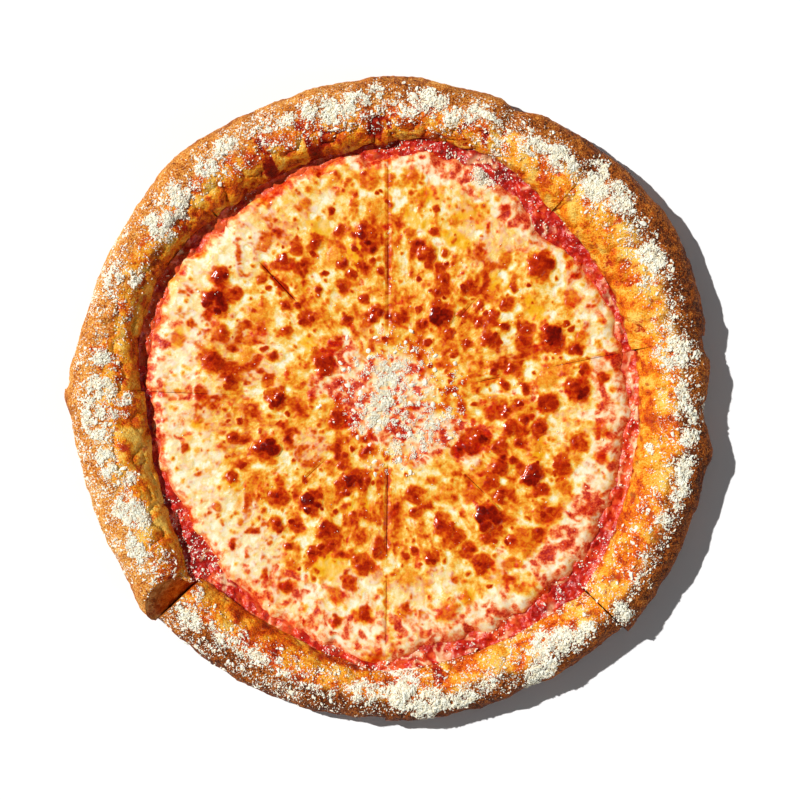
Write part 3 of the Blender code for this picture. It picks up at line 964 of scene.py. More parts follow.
def add_piece(
    mesh: bpy.types.Mesh, name: str, material: bpy.types.Material,
    nodes: Sequence[str] = (),
) -> bpy.types.Object:
    """Makes a finished piece of the pizza from a mesh.

    Args:
        mesh: The mesh, in the pizza's frame.
        name: The piece's name.
        material: Its finish.
        nodes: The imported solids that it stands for.

    Returns:
        The object.
    """
    mesh.materials.clear()
    mesh.materials.append(material)
    made = add_object(name, mesh)
    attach(made, "root")
    if nodes:
        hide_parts(*nodes)
    log.info("%s: %d points", name, len(mesh.vertices))
    return made


@dataclass
class Surface:
    """A finished surface that grated cheese can lie on.

    Fields:
        points: Its points.
        normals: The direction away from it at each.
        areas: The area round each.
        bearing: The bearing of each.
        radius: The radius of each, in millimetres.
    """

    points: Array
    normals: Array
    areas: Array
    bearing: Array
    radius: Array

    @classmethod
    def of(cls, mesh: bpy.types.Mesh, points: Array, bearing: Array, keep: Array) -> "Surface":
        """Takes the points of a finished mesh that keep picks out."""
        _, radius = FORM.polar(points)
        return cls(
            points[keep], normals(mesh)[keep], point_areas(mesh)[keep], bearing[keep],
            radius[keep],
        )


@dataclass
class Crust:
    """The dough of the eight slices, with the rim's folds, browning, painted shade and cut faces."""

    finish: bpy.types.Material
    columns: int = 156
    spacing: float = 0.78 * MM
    crowding: float = 0.5
    under_rings: int = 40
    cut_cell: float = 3.0 * MM
    cut_radii: tuple[float, float] = (128 * MM, 174 * MM)
    cut_top: float = 26 * MM
    on_plane: float = 0.02 * MM
    on_end: float = 1e-4
    floor_ring: float = 110 * MM
    inner_slope: tuple[float, float] = (163 * MM, 157 * MM)
    bulge: float = 1.0 * MM
    fold: float = 2.3 * MM
    pit: float = 0.22 * MM
    tooth: float = 0.24 * MM
    skin: float = 0.22 * MM
    fill: float = 1.5 * MM
    fill_width: float = 8 * MM
    fill_heights: tuple[float, float] = (12 * MM, 22 * MM)
    closing: float = 0.29 * MM
    closing_reach: float = 4 * MM
    crumb: float = 0.7 * MM
    crumb_cell: float = 4 * MM
    crumb_shown: float = 0.9
    crumb_recess: tuple[float, float] = (5, 9)
    soft_top: float = 27.2 * MM
    soft_rise: float = 1.6 * MM
    grated_from: float = 9 * MM
    sharp: float = 55.0
    surfaces: list[Surface] = field(default_factory=list)

    # Small open notches beside a cut at the rim's inner foot: bearing of the cut and width
    notches: Knots = (
        (11.5, 0.4 * MM), (49, 0.25 * MM), (133, 0.4 * MM), (316, 0.5 * MM), (223.5, 0.3 * MM),
    )
    notch_radius: float = 139.5 * MM
    notch_length: float = 2.6 * MM
    notch_reach: float = 5 * MM
    notch_width: float = 3.0

    # Strength of each effect round the rim, as (bearing, value)
    folded: Knots = (
        (0, 0.85), (60, 0.85), (90, 1), (130, 1), (215, 0.9), (228, 0.45), (262, 0.5), (278, 0.85),
        (316, 0.9), (340, 0.85),
    )
    # toast_and_shade is real browning, raised into painted shade where the outer wall faces away
    # from the key lamp, from about 232 round to 30 degrees.
    toast_and_shade: Knots = (
        (0, 0.85), (30, 0.8), (55, 0.7), (75, 0.55), (90, 0.5), (115, 0.42), (150, 0.38),
        (200, 0.36), (220, 0.42), (232, 0.85), (270, 0.88), (320, 0.85),
    )
    scorched: Knots = (
        (0, 0.42), (20, 0.5), (45, 0.42), (64, 0.52), (74, 0.74), (84, 0.55), (94, 0.66),
        (105, 0.72), (118, 0.68), (135, 0.58), (150, 0.55), (170, 0.65), (185, 0.4), (205, 0.4),
        (222, 0.4), (235, 0.45), (262, 0.5), (280, 0.65), (300, 0.42), (325, 0.4), (345, 0.4),
    )
    gilded: Knots = (
        (0, 0.34), (15, 0.26), (40, 0.24), (58, 0.32), (70, 0.44), (85, 0.42), (95, 0.44),
        (110, 0.44), (130, 0.4), (150, 0.4), (172, 0.4), (190, 0.28), (210, 0.24),
        (226, 0.44), (240, 0.54), (262, 0.5), (285, 0.44), (305, 0.38), (330, 0.4),
    )
    smeared: Knots = (
        (0, 0.6), (12, 0.5), (22, 0.7), (35, 0.7), (42, 0.4), (60, 0.4), (72, 0.8), (95, 0.8),
        (120, 0.5), (150, 0.7), (172, 0.7), (185, 0.4), (215, 0.5), (235, 0.6), (262, 0.5),
        (290, 0.5), (318, 0.5), (335, 0.5), (345, 0.75), (356, 0.7),
    )

    def profile(self) -> list[tuple[float, float]]:
        """Section of the plain slice, with points at even spacing along the rim."""
        turns = np.linspace(-61, 180, 500)
        curve = np.array([FORM.section(turn) for turn in turns])
        length = np.concatenate(([0], np.cumsum(np.linalg.norm(np.diff(curve, axis=0), axis=1))))
        steps = np.linspace(0, length[-1], int(length[-1] / self.spacing))
        rim = zip(*(np.interp(steps, length, curve[:, axis]) for axis in (0, 1)))
        rings = np.linspace(FORM.tip, FORM.rim_foot, self.under_rings)
        under = [(radius, 0.0) for radius in rings]
        inwards = (FORM.rim_inner, self.floor_ring, FORM.tip)
        return [*under, *rim, *((radius, FORM.dough_top) for radius in inwards)]

    def plain(self) -> bpy.types.Mesh:
        """The plain slice, one radian wide, with its two cut faces divided into cells."""
        bm = bmesh.new()
        corners = [bm.verts.new((radius, 0.0, height)) for radius, height in self.profile()]
        face = bm.faces.new(corners)
        bmesh.ops.spin(
            bm, geom=[face, *face.edges, *face.verts], cent=(0, 0, 0), axis=(0, 0, 1),
            angle=1.0, steps=self.columns, use_duplicate=False,
        )
        for end in (0.0, 1.0):
            outwards, upwards = Vector((math.cos(end), math.sin(end), 0)), Vector((0, 0, 1))
            planes = [(outwards, radius) for radius in np.arange(*self.cut_radii, self.cut_cell)]
            planes += [
                (upwards, height) for height in np.arange(self.cut_cell, self.cut_top, self.cut_cell)
            ]
            for normal, distance in planes:
                cap = [
                    f for f in bm.faces
                    if all(abs(math.atan2(v.co.y, v.co.x) - end) < self.on_end for v in f.verts)
                ]
                geometry = {g for f in cap for g in (f, *f.edges, *f.verts)}
                bmesh.ops.bisect_plane(
                    bm, geom=list(geometry), dist=self.on_plane, plane_co=normal * distance,
                    plane_no=normal,
                )
        bmesh.ops.recalc_face_normals(bm, faces=bm.faces)
        return as_mesh(bm, "plain_slice")

    @staticmethod
    def creases(points: Array) -> Array:
        """Noise whose zero crossings are the creases between the lumps of the rim."""
        return Noise.at(points, 10 * MM, 33) + 0.35 * Noise.at(points, 5 * MM, 37)

    def relief(self, points: Array, bearing: Array, radius: Array, inside: Array) -> Array:
        """How far the dough stands out at each point, in metres."""
        lumps = self.bulge * Noise.layers(points, 12 * MM, 21)
        folds = 1.3 * np.sqrt(np.abs(self.creases(points))) - 0.55
        folds = self.fold * folds * inside * smooth(8.8 * MM, 13 * MM, points[:, 2])
        folds = folds * around(self.folded, bearing)
        pits = -self.pit * smooth(0.35, 0.75, Noise.at(points, 3.4 * MM, 47))
        skin = streaked(bearing, (radius + points[:, 2]) / MM, 70, 2.4)
        tooth = self.tooth * Noise.layers(points, 1.9 * MM, 52, 2)
        tooth = tooth + self.skin * Noise.layers(skin, 1.0, 55, 2) * (1 - inside)
        low = smooth(0.6 * MM, 5 * MM, points[:, 2])
        foot = np.where(inside > 0.5, smooth(8.0 * MM, 10.5 * MM, points[:, 2]), 1)
        return (lumps * (1 - 0.4 * inside) + folds + pits + tooth) * low * foot

    def browning(self, points: Array, bearing: Array, radius: Array, height: Array) -> dict:
        """Values that colour the dough, from each point's place on the plain slice."""
        inside = smooth(162.5, 155.5, radius / MM + 3.5 * Noise.layers(points, 7 * MM, 61))
        inside = np.where(height > FORM.dough_top + 0.2 * MM, inside, 0)
        streaks = Noise.layers(streaked(bearing, radius / MM, 110, 24), 1.0, 71, 3)
        spots = Noise.layers(points, 6 * MM, 75)
        share = around(self.scorched, bearing)
        band = smooth(168, 159, radius / MM + 3 * spots) * smooth(4 * MM, 8 * MM, height)
        band = band * (1 - 0.25 * smooth(152, 160, radius / MM))
        # The colour is also darker along the valleys of the creases between the rim's lumps.
        crease = smooth(0.2, 0.03, np.abs(self.creases(points)))
        scribble = smooth(0.16, 0.03, np.abs(Noise.layers(points, 6.5 * MM, 78, 2)))
        fine = Noise.layers(streaked(bearing, radius / MM, 330, 9), 1.0, 73)
        scorch = share + 0.48 * streaks + 0.3 * fine + 0.3 * spots + 0.2 * crease + 0.2 * scribble
        scorch = smooth(0.7, 1.4, scorch) * band * (0.55 + 0.4 * smooth(0.5, 0.7, share))
        rise = (height - FORM.dough_top) / MM - 3.5 * Noise.layers(points, 7 * MM, 81)
        foot = smooth(5.5, 1.5, rise - 1.5 * streaks)
        smear = foot * smooth(0.2, 0.55, around(self.smeared, bearing) + 0.35 * spots)
        splash = smooth(0.65, 0.85, Noise.layers(points, 5 * MM, 85))
        smear = np.maximum(smear, 0.75 * splash * inside)
        smear = np.where(radius < FORM.rim_crest, smear, 0) * (height > FORM.dough_top)
        # The outer wall is browner, and darker with painted shade, on the side away from the key
        # lamp.
        bake = around(self.toast_and_shade, bearing) + 0.16 * Noise.layers(points, 16 * MM, 91)
        bake = bake + 0.25 * smooth(12, 3, height / MM) + 0.1 * Noise.at(points, 4 * MM, 95)
        under = smooth(3, 0.2, height / MM)
        char = smooth(0.1, 0.5, Noise.layers(points, 7 * MM, 97)) * under
        bake = bake + under * (0.3 - around(self.toast_and_shade, bearing))
        gold = around(self.gilded, bearing) + 0.38 * Noise.layers(points, 7 * MM, 99)
        return {
            "bake": bake + 0.4 * char, "oily": inside, "gold": gold,
            "scorch": 0.9 * scorch, "smear": smear,
        }

    def inside_cut(self, radius: Array, height: Array) -> Array:
        """Tells which points of a cut face are away from its outline."""
        distance = np.full(len(radius), np.inf)
        for along, up in self.profile():
            distance = np.minimum(distance, np.hypot(radius - along, height - up))
        return distance > 0.5 * self.spacing

    def lean(self, side: Array, bearing: Array, radius: Array) -> Array:
        """How far the dough leans over the cut beside it, which closes it but for the notches."""
        close = self.closing * smooth(self.closing_reach, 0, side)
        for at, width in self.notches:
            near = np.abs(turned(bearing, at)) < self.notch_width
            depth = np.exp(-(((radius - self.notch_radius) / self.notch_length) ** 2)) * near
            close = close - width * depth * smooth(self.notch_reach, 0, side)
        return close

    def bake(
        self, points: Array, mesh: bpy.types.Mesh, bearing: Array,
        plain: tuple[Array, Array, Array],
    ) -> tuple[Array, Array]:
        """Adds the relief of the baked dough to the points of a slice.

        Args:
            points: The points.
            mesh: The slice's mesh, which has the same points.
            bearing: Bearing of each point.
            plain: Each point's radius and height on the plain slice, and whether it is in a cut
                face, away from its outline.

        Returns:
            The moved points, and the direction along the pizza's turn at each.
        """
        radius, height, inner_cut = plain
        turn = np.radians(bearing)
        tangent = np.stack((-np.sin(turn), np.cos(turn), 0 * turn), axis=-1)
        normal = normals(mesh)
        section = normal - (normal * tangent).sum(axis=1)[:, None] * tangent
        section /= np.maximum(np.linalg.norm(section, axis=1), 1e-6)[:, None]
        on_rim = radius > FORM.rim_inner - 0.1 * MM
        inside = smooth(*self.inner_slope, radius) * (height > FORM.dough_top + 0.3 * MM) * on_rim
        lift = self.relief(points, bearing, radius, inside) * on_rim
        return points + section * np.where(inner_cut, 0, lift)[:, None], tangent

    def build(self) -> None:
        """Makes the dough of every slice."""
        plain = self.plain()
        flat = coordinates(plain)
        even = np.clip(np.arctan2(flat[:, 1], flat[:, 0]), 0, 1)
        radius, height = np.hypot(flat[:, 0], flat[:, 1]), flat[:, 2]
        share = even + self.crowding * (0.5 - 0.5 * np.cos(np.pi * even) - even)
        on_cut = (even < 1e-5) | (even > 1 - 1e-5)
        inner_cut = on_cut & self.inside_cut(radius, height)
        towards_cut = np.sign(even - 0.5)
        for piece in SLICES:
            mesh = plain.copy()
            points = FORM.place(piece, FORM.knead(piece, share, radius, height))
            move_points(mesh, points)
            bearing = piece.bearing(share) % 360
            points, tangent = self.bake(points, mesh, bearing, (radius, height, inner_cut))
            side = np.minimum(share, 1 - share) * piece.span * radius
            fill = np.exp(-((side / FORM.pinch_length) ** 2)) * self.fill
            fill = fill * smooth(FORM.rim_inner, FORM.rim_inner + self.fill_width, radius)
            points[:, 2] += fill * smooth(*self.fill_heights, height)
            points = points + tangent * (self.lean(side, bearing, radius) * towards_cut)[:, None]
            crumb = self.crumb * Noise.layers(points, self.crumb_cell, 105)
            crumb = np.where(inner_cut, crumb, 0)
            points = points - tangent * (towards_cut * np.abs(crumb))[:, None]
            over = np.maximum(points[:, 2] - self.soft_top, 0)
            points[:, 2] += self.soft_rise * np.tanh(over / self.soft_rise) - over
            points[:, 2] = np.maximum(points[:, 2], 0)
            move_points(mesh, points)
            values = self.browning(points, bearing, radius, height)
            recess = np.where(even < 0.5, *piece.recess)
            values["crumb"] = on_cut * smooth(*self.crumb_recess, recess) * self.crumb_shown
            paint_points(mesh, **values)
            shade(mesh, self.sharp)
            number = piece.number
            add_piece(mesh, f"dough_{number}", self.finish, [f"crust_{number}"])
            keep = (radius > FORM.rim_inner) & ~on_cut & (points[:, 2] > self.grated_from)
            self.surfaces.append(Surface.of(mesh, points, bearing, keep))
        bpy.data.meshes.remove(plain)


@dataclass
class Sheeted:
    """A layer of food on one slice: a fine upper face over plain sides and a flat bottom."""

    columns: int
    rings: int

    def plain(self) -> bpy.types.Mesh:
        """A closed block whose X is the share of the width, Y the share of the length, and Z 1
        on the upper face and 0 on the bottom."""
        bm = bmesh.new()
        bmesh.ops.create_grid(bm, x_segments=self.columns, y_segments=self.rings, size=0.5)
        bmesh.ops.translate(bm, verts=bm.verts, vec=(0.5, 0.5, 1.0))
        for _ in range(2):
            rim = [e for e in bm.edges if e.is_boundary]
            made = bmesh.ops.extrude_edge_only(bm, edges=rim)
            lower = [g for g in made["geom"] if isinstance(g, bmesh.types.BMVert)]
            bmesh.ops.translate(bm, verts=lower, vec=(0, 0, -0.5))
        bmesh.ops.edgeloop_fill(bm, edges=[e for e in bm.edges if e.is_boundary])
        bmesh.ops.recalc_face_normals(bm, faces=bm.faces)
        return as_mesh(bm, "plain_layer")


@dataclass
class Sauce:
    """The tomato sauce of the eight slices, lumpy where it shows inside the rim."""

    finish: bpy.types.Material
    layer: Sheeted = field(default_factory=lambda: Sheeted(150, 60))
    lumps: float = 1.5 * MM
    climb: float = 0.9 * MM
    closing: float = 0.29 * MM
    closing_reach: float = 3 * MM
    fine_from: float = 112 * MM
    inner_part: float = 0.12
    cream_strength: float = 0.85
    grated_from: float = 118.0
    merge: float = 0.02 * MM
    sharp: float = 60.0
    surfaces: list[Surface] = field(default_factory=list)

    # How much melted cheese has run over the sauce round the rim, as (bearing, value)
    creamy: Knots = (
        (0, 0.7), (15, 0.6), (25, 0.5), (40, 0.25), (60, 0.3), (75, 0.3), (92, 0.2), (108, 0.1),
        (125, 0.1), (150, 0.2), (160, 0.3), (175, 0.15), (200, 0.15), (215, 0.2), (232, 0.5),
        (250, 0.5), (265, 0.3), (273, 0.6), (295, 0.55), (312, 0.3), (322, 0.3), (335, 0.6),
    )

    # How thin the sauce lies, as (bearing, value). From bearing 104 to 168, where the rim shades the
    # sauce, the values are raised, which paints light on it.
    thinned_and_painted_light: Knots = (
        (0, 0.84), (25, 0.72), (45, 0.54), (90, 0.56), (104, 0.9), (140, 0.9), (168, 0.85),
        (180, 0.5), (222, 0.54), (235, 0.84), (262, 0.6), (275, 0.84), (312, 0.6), (335, 0.84),
    )

    def build(self) -> None:
        """Makes the sauce of every slice."""
        plain = self.layer.plain()
        grid = coordinates(plain)
        share, part, level = grid.T
        bottom = FORM.dough_top + FORM.layer_gap
        edge = FORM.rim_inner + 0.3 * MM
        outer = (part - self.inner_part) / (1 - self.inner_part)
        radius = np.where(
            part < self.inner_part,
            FORM.tip + part / self.inner_part * (self.fine_from - FORM.tip),
            self.fine_from + outer * (edge - self.fine_from),
        )
        upper = level > 0.9
        top = bottom + FORM.sauce_depth
        height = np.where(upper, top, bottom + level * 0.5 * FORM.sauce_depth)
        ends = np.linspace(0, 1, 200)
        for piece in SLICES:
            mesh = plain.copy()
            points = FORM.place(piece, FORM.knead(piece, share, radius, height))
            bearing, far = FORM.polar(points)
            turn = np.radians(bearing)
            side = np.minimum(share, 1 - share) * piece.span * radius
            close = self.closing * smooth(self.closing_reach, 0, side) * np.sign(share - 0.5)
            points[:, 0] -= np.sin(turn) * close
            points[:, 1] += np.cos(turn) * close
            cheese = np.interp(share, ends, FORM.cheese_edge(piece, ends) / MM)
            shown = smooth(-1, 2, far - cheese)
            lumps = self.lumps * np.maximum(Noise.layers(points, 5.5 * MM, 111) + 0.3, -0.4)
            climb = self.climb * smooth(-2.5 * MM, 0.3 * MM, radius - edge)
            points[:, 2] += np.where(upper, shown * (lumps + climb), 0)
            move_points(mesh, points)
            # Raised at bearings 104 to 168 to paint light on the sauce in the rim's shadow.
            thin = around(self.thinned_and_painted_light, bearing) + 0.3 * Noise.layers(points, 10 * MM, 115)
            strand = 1 - 3.2 * np.abs(Noise.layers(points, 6 * MM, 117, 2))
            patchy = around(self.creamy, bearing) + 0.45 * Noise.layers(points, 9 * MM, 119)
            cream = smooth(0.0, 0.55, strand) * smooth(0.3, 0.75, patchy)
            paint_points(mesh, thin=thin, cream=self.cream_strength * cream)
            turn_outwards(mesh, self.merge)
            shade(mesh, self.sharp)
            number = piece.number
            add_piece(mesh, f"tomato_{number}", self.finish, [f"sauce_{number}"])
            points = coordinates(mesh)
            bearing, far = FORM.polar(points)
            keep = (points[:, 2] > bottom + 1.2 * MM) & (far > self.grated_from)
            self.surfaces.append(Surface.of(mesh, points, bearing, keep))
        bpy.data.meshes.remove(plain)


@dataclass
class Bubble:
    """A round browned bubble of cheese, in millimetres from the pizza's middle."""

    x: float
    y: float
    radius: float
    heat: float
    height: float


@dataclass
class Cheese:
    """The melted cheese of the eight slices, with its bubbles, stains and pale places."""

    finish: bpy.types.Material
    layer: Sheeted = field(default_factory=lambda: Sheeted(165, 215))
    seed: int = 5
    loose_bubbles: int = 950
    loose_reach: float = 130.0
    scallop: float = 3.0 * MM
    edge_margin: float = 1.2 * MM
    edge_width: float = 7 * MM
    edge_sink: float = 0.25 * MM
    closing: float = 0.292 * MM
    closing_reach: float = 3 * MM
    lip: float = 1.7 * MM
    groove: float = 0.7 * MM
    skirt: float = 0.7 * MM
    base_heat: float = 0.23
    cut_browning_and_shade: float = 0.78
    stain_strength: float = 0.88
    speck_stain: float = 0.34
    fringe_stain: float = 0.62
    edge_stain: float = 0.46
    side_stain: float = 0.6
    pale_strength: float = 0.85
    oil_strength: float = 0.75
    curd: float = 0.28 * MM
    tooth: float = 0.1 * MM
    wrinkle: float = 0.08 * MM
    glow: dict[Heat, float] = field(default_factory=lambda: {
        Heat.GOLDEN: 0.44, Heat.ORANGE: 0.54, Heat.BROWN: 0.67, Heat.DARK: 0.67,
    })
    merge: float = 0.03 * MM
    sharp: float = 70.0
    surfaces: list[Surface] = field(default_factory=list)

    # Stretches of the cuts that stay open: bearing, first and last radius in millimetres, and how
    # far open they are, up to 1
    open_cuts: tuple[tuple[float, float, float, float], ...] = (
        (11.5, 50, 62, 0.5), (11.5, 92, 128, 0.35), (49, 58, 70, 0.4), (90, 38, 132, 0.4),
        (90, 60, 86, 0.7), (133, 74, 100, 0.9), (178, 98, 128, 0.35), (223.5, 48, 62, 0.4),
        (269.5, 36, 80, 0.7), (269.5, 98, 132, 0.4), (316, 58, 72, 0.5), (371.5, 50, 62, 0.5),
        (371.5, 92, 128, 0.35),
    )

    def bubbles(self) -> list[Bubble]:
        """Bubbles of the browned places, and loose ones between them."""
        draw = random.Random(self.seed)
        made: list[Bubble] = []
        for heat, places in BROWNED.items():
            for bearing, radius, width in places:
                x, y = spot(bearing, radius)
                count = 2 if heat is Heat.GOLDEN else max(1, round((width / 5.6) ** 2))
                for index in range(count):
                    turn = draw.uniform(0, math.tau)
                    reach = 0.34 * width * math.sqrt(draw.random())
                    reach = 0 if index == 0 and count < 3 else reach
                    size = width / 2 * (0.95 if count == 1 else draw.uniform(0.4, 0.64))
                    made.append(Bubble(
                        x + reach * math.cos(turn), y + reach * math.sin(turn), size,
                        heat.value * draw.uniform(0.84, 1.0), 0.32 * size * heat.value,
                    ))
        for _ in range(self.loose_bubbles):
            bearing, radius = draw.uniform(0, 360), self.loose_reach * math.sqrt(draw.random())
            place = np.array([bearing]), np.array([radius])
            cooler = 1 - 0.28 * float(strongest(PALE_CHEESE, *place)[0])
            cooler = cooler - 0.36 * float(strongest(STAINED_CHEESE, *place)[0])
            size = draw.triangular(0.9, 3.0, 1.7)
            heat = draw.triangular(0.36, 0.9, 0.56) * cooler
            made.append(Bubble(*spot(bearing, radius), size, heat, 0.24 * size * heat))
        return made

    def topping(
        self, points: Array, bubbles: Sequence[Bubble]
    ) -> tuple[Array, dict[str, Array]]:
        """Relief and colour of the cheese's upper face.

        Args:
            points: Points in the pizza's frame.
            bubbles: The bubbles of the whole pizza.

        Returns:
            The relief in metres, and the values that colour the cheese.
        """
        flat = points.copy()
        flat[:, 2] = 0
        bearing, radius = FORM.polar(flat)
        x = (flat[:, 0] - FORM.middle[0]) / MM
        y = (flat[:, 1] - FORM.middle[1]) / MM
        x = x + 1.0 * Noise.at(flat, 4 * MM, 131) + 0.45 * Noise.at(flat, 1.8 * MM, 135)
        y = y + 1.0 * Noise.at(flat, 4 * MM, 133) + 0.45 * Noise.at(flat, 1.8 * MM, 137)
        pale_zone = strongest(PALE_CHEESE, bearing, radius)
        broad, curd = Noise.layers(flat, 13 * MM, 141), Noise.layers(flat, 4.5 * MM, 145)
        pull = Noise.layers(streaked(bearing, radius, 230, 9), 1.0, 143) * smooth(20, 80, radius)
        warm = smooth(132, 60, radius)
        red_zone = strongest(STAINED_CHEESE, bearing, radius)
        heat = self.base_heat + 0.2 * broad + 0.28 * curd + 0.1 * pull + 0.15 * warm
        heat = heat - 0.14 * red_zone
        wrinkle = 1 - 2.5 * np.abs(Noise.at(flat, 3.2 * MM, 147))
        height = self.curd * curd + self.tooth * Noise.at(flat, 1.6 * MM, 149)
        height = height + self.wrinkle * np.maximum(wrinkle, 0)
        for kind, places in BROWNED.items():
            for at, far, width in places:
                right, up = spot(at, far)
                away = np.hypot(x - right, y - up) / width
                near = away < 1.2
                glow = self.glow[kind] * smooth(0.95, 0.35, away[near] - 0.2 * curd[near])
                heat[near] = np.maximum(heat[near], glow)
        for bubble in bubbles:
            away = np.hypot(x - bubble.x, y - bubble.y) / bubble.radius
            near = away < 1.6
            soft, full = (1.55, 0.1) if bubble.heat < 0.72 else (1.25, 0.6)
            disc = smooth(soft, full, away[near]) * (1 - 0.14 * np.minimum(away[near], 1) ** 2)
            heat[near] = np.maximum(heat[near], bubble.heat * disc)
            dome = np.sqrt(np.clip(1 - (away[near] / 1.05) ** 2, 0, 1))
            height[near] = np.maximum(height[near], bubble.height * MM * dome)
        bent = flat.copy()
        bent[:, 0] += 2.6 * MM * Noise.at(flat, 6 * MM, 181)
        bent[:, 1] += 2.6 * MM * Noise.at(flat, 6 * MM, 183)
        strand = np.clip(1 - 2.6 * np.abs(Noise.layers(bent, 5.5 * MM, 185, 2)), -1, 1)
        pale_zone = np.maximum(pale_zone, red_zone * (0.74 + 0.3 * strand))
        pale = smooth(0.3, 0.9, 0.95 * pale_zone + 0.3 * broad + 0.4 * curd + 0.3 * pull)
        pale = pale * smooth(0.56, 0.32, heat)
        veins = Noise.layers(flat, 5.5 * MM, 151) + 0.5 * pull
        fine = Noise.layers(flat, 2.4 * MM, 155)
        stain = 0.82 * red_zone + 0.42 * veins + 0.22 * fine - 0.38 * strand
        stain = self.stain_strength * smooth(0.16, 1.4, stain)
        outer = smooth(70, 120, radius)
        specks = Noise.layers(flat, 3.2 * MM, 157, 2) + 0.12 * red_zone + 0.14 * outer
        stain = np.maximum(stain, self.speck_stain * smooth(0.55, 1.35, specks))
        stain = stain * smooth(0.95, 0.5, heat) * (1 - 0.6 * pale * (1 - red_zone))
        oil_zone = strongest(OILY_CHEESE, bearing, radius)
        oil = self.oil_strength * smooth(0.45, 0.8, oil_zone + 0.4 * veins)
        oil = oil * smooth(0.6, 0.45, heat)
        return height, {
            "browning": heat, "pale": self.pale_strength * pale, "stain": stain, "oil": oil,
        }

    def outline(self, piece: Slice, share: Array) -> Array:
        """Radius of the cheese's edge, with its scallops."""
        ends = np.linspace(0, 1, 300)
        edge = np.interp(share, ends, FORM.cheese_edge(piece, ends))
        turn = np.radians(piece.bearing(share))
        ring = np.stack((0.13 * np.cos(turn), 0.13 * np.sin(turn), 0 * turn), axis=-1)
        scallop = self.scallop * Noise.layers(ring, 9 * MM, 161, 2)
        scallop = scallop + 0.4 * MM * Noise.at(ring, 3.4 * MM, 165)
        _, inner = FORM.radii(piece, share)
        return np.minimum(edge + scallop, inner - self.edge_margin)

    def fringe(self, points: Array, bearing: Array, radius: Array, inward: Array) -> Array:
        """How red the sauce stains the cheese near its edge.

        Args:
            points: Points in the pizza's frame.
            bearing: Bearing of each.
            radius: Radius of each, in millimetres.
            inward: How far each is inside the edge, in millimetres.

        Returns:
            The strength of the stain.
        """
        wisps = 0.8 * smooth(11, 0, inward) + 0.5 * Noise.layers(points, 5 * MM, 175)
        wisps = wisps + 0.3 * Noise.layers(streaked(bearing, radius, 300, 9), 1.0, 177)
        rim = smooth(2.6, 0.4, inward + 1.6 * Noise.layers(points, 4 * MM, 179))
        return np.maximum(self.fringe_stain * smooth(0.4, 1.25, wisps), self.edge_stain * rim)

    def build(self) -> None:
        """Makes the melted cheese of every slice."""
        plain = self.layer.plain()
        share, part, level = coordinates(plain).T
        upper = level > 0.9
        bottom = FORM.dough_top + FORM.sauce_depth + 2 * FORM.layer_gap
        bubbles = self.bubbles()
        for piece in SLICES:
            mesh = plain.copy()
            edge = self.outline(piece, share)
            radius = FORM.tip + part * (edge - FORM.tip)
            side = np.minimum(share, 1 - share) * piece.span * radius
            cut = np.where(share > 0.5, piece.cuts[1], piece.cuts[0]) % 360
            open_here = self.opened(cut, radius / MM)
            reach = self.closing * (1 - open_here) * smooth(self.closing_reach, 0.0, side)
            reach = reach * np.sign(share - 0.5)
            angle = share * piece.span + reach / np.maximum(radius, 3 * MM)
            local = np.stack((radius * np.cos(angle), radius * np.sin(angle), 0 * radius), axis=-1)
            points = FORM.place(piece, local)
            bearing, far = FORM.polar(points)
            relief, values = self.topping(points, bubbles)
            away = smooth(0, 1.0, (edge - radius) / self.edge_width) ** 0.5
            lip = 1 - open_here * smooth(self.lip, 0.0, side)
            tall = bottom - self.edge_sink + (FORM.cheese_depth + self.edge_sink) * away
            tall = tall + away * self.swell(piece, share, radius) + relief * away * lip
            tall = tall - self.groove * (1 - lip)
            # Browning and painted shade in the open cuts: the cheese is darker in the groove beside
            # each open cut.
            seam = side / MM + 1.2 * Noise.layers(points, 4 * MM, 183)
            seam = self.cut_browning_and_shade * (open_here * smooth(2.2, 0.3, seam)) ** 0.5
            values["browning"] = np.maximum(values["browning"], seam)
            skirt = self.skirt * smooth(1.5 * MM, 0, edge - radius)
            lower = bottom - skirt + level * 0.8 * (tall - bottom + skirt)
            points[:, 2] = np.where(upper, tall, lower)
            fringe = self.fringe(points, bearing, far, (edge - radius) / MM)
            stain = np.maximum(values["stain"], fringe)
            values["stain"] = np.where(upper, stain, self.side_stain)
            move_points(mesh, points)
            paint_points(mesh, **values)
            turn_outwards(mesh, self.merge)
            shade(mesh, self.sharp)
            number = piece.number
            add_piece(mesh, f"melted_{number}", self.finish, [f"cheese_{number}"])
            points = coordinates(mesh)
            bearing, _ = FORM.polar(points)
            keep = normals(mesh)[:, 2] > 0.4
            self.surfaces.append(Surface.of(mesh, points, bearing, keep))
        bpy.data.meshes.remove(plain)

    def opened(self, cut: Array, radius: Array) -> Array:
        """How open the cuts are, from 0 where the cheese has run together to 1."""
        wide = np.zeros(len(radius))
        for at, near, far, weight in self.open_cuts:
            inside = smooth(near - 3, near + 3, radius) * smooth(far + 3, far - 3, radius)
            wide = np.maximum(wide, weight * inside * (cut == at % 360))
        return wide

    @staticmethod
    def swell(piece: Slice, share: Array, radius: Array) -> Array:
        """The broad swelling of the cheese's solid."""
        turn = np.radians(piece.bearing(share))
        x, y = radius * np.cos(turn), radius * np.sin(turn)
        length = FORM.cheese_swell_length
        broad = [noise.noise((a / length, b / length, 2.0)) for a, b in zip(x, y)]
        swell = FORM.cheese_swell * np.array(broad)
        for at, far, width in piece.blisters:
            right, up = spot(at, far * MM)
            away = np.hypot(x - right, y - up) / (0.36 * width * MM)
            swell = swell + FORM.blister_height * np.exp(-(away**2))
        return swell


# Grated hard cheese


class Crumb(Enum):
    """The shapes of crumb, as the number of points of each."""

    CHIP = 6
    GRAIN = 12
    LUMP = 42


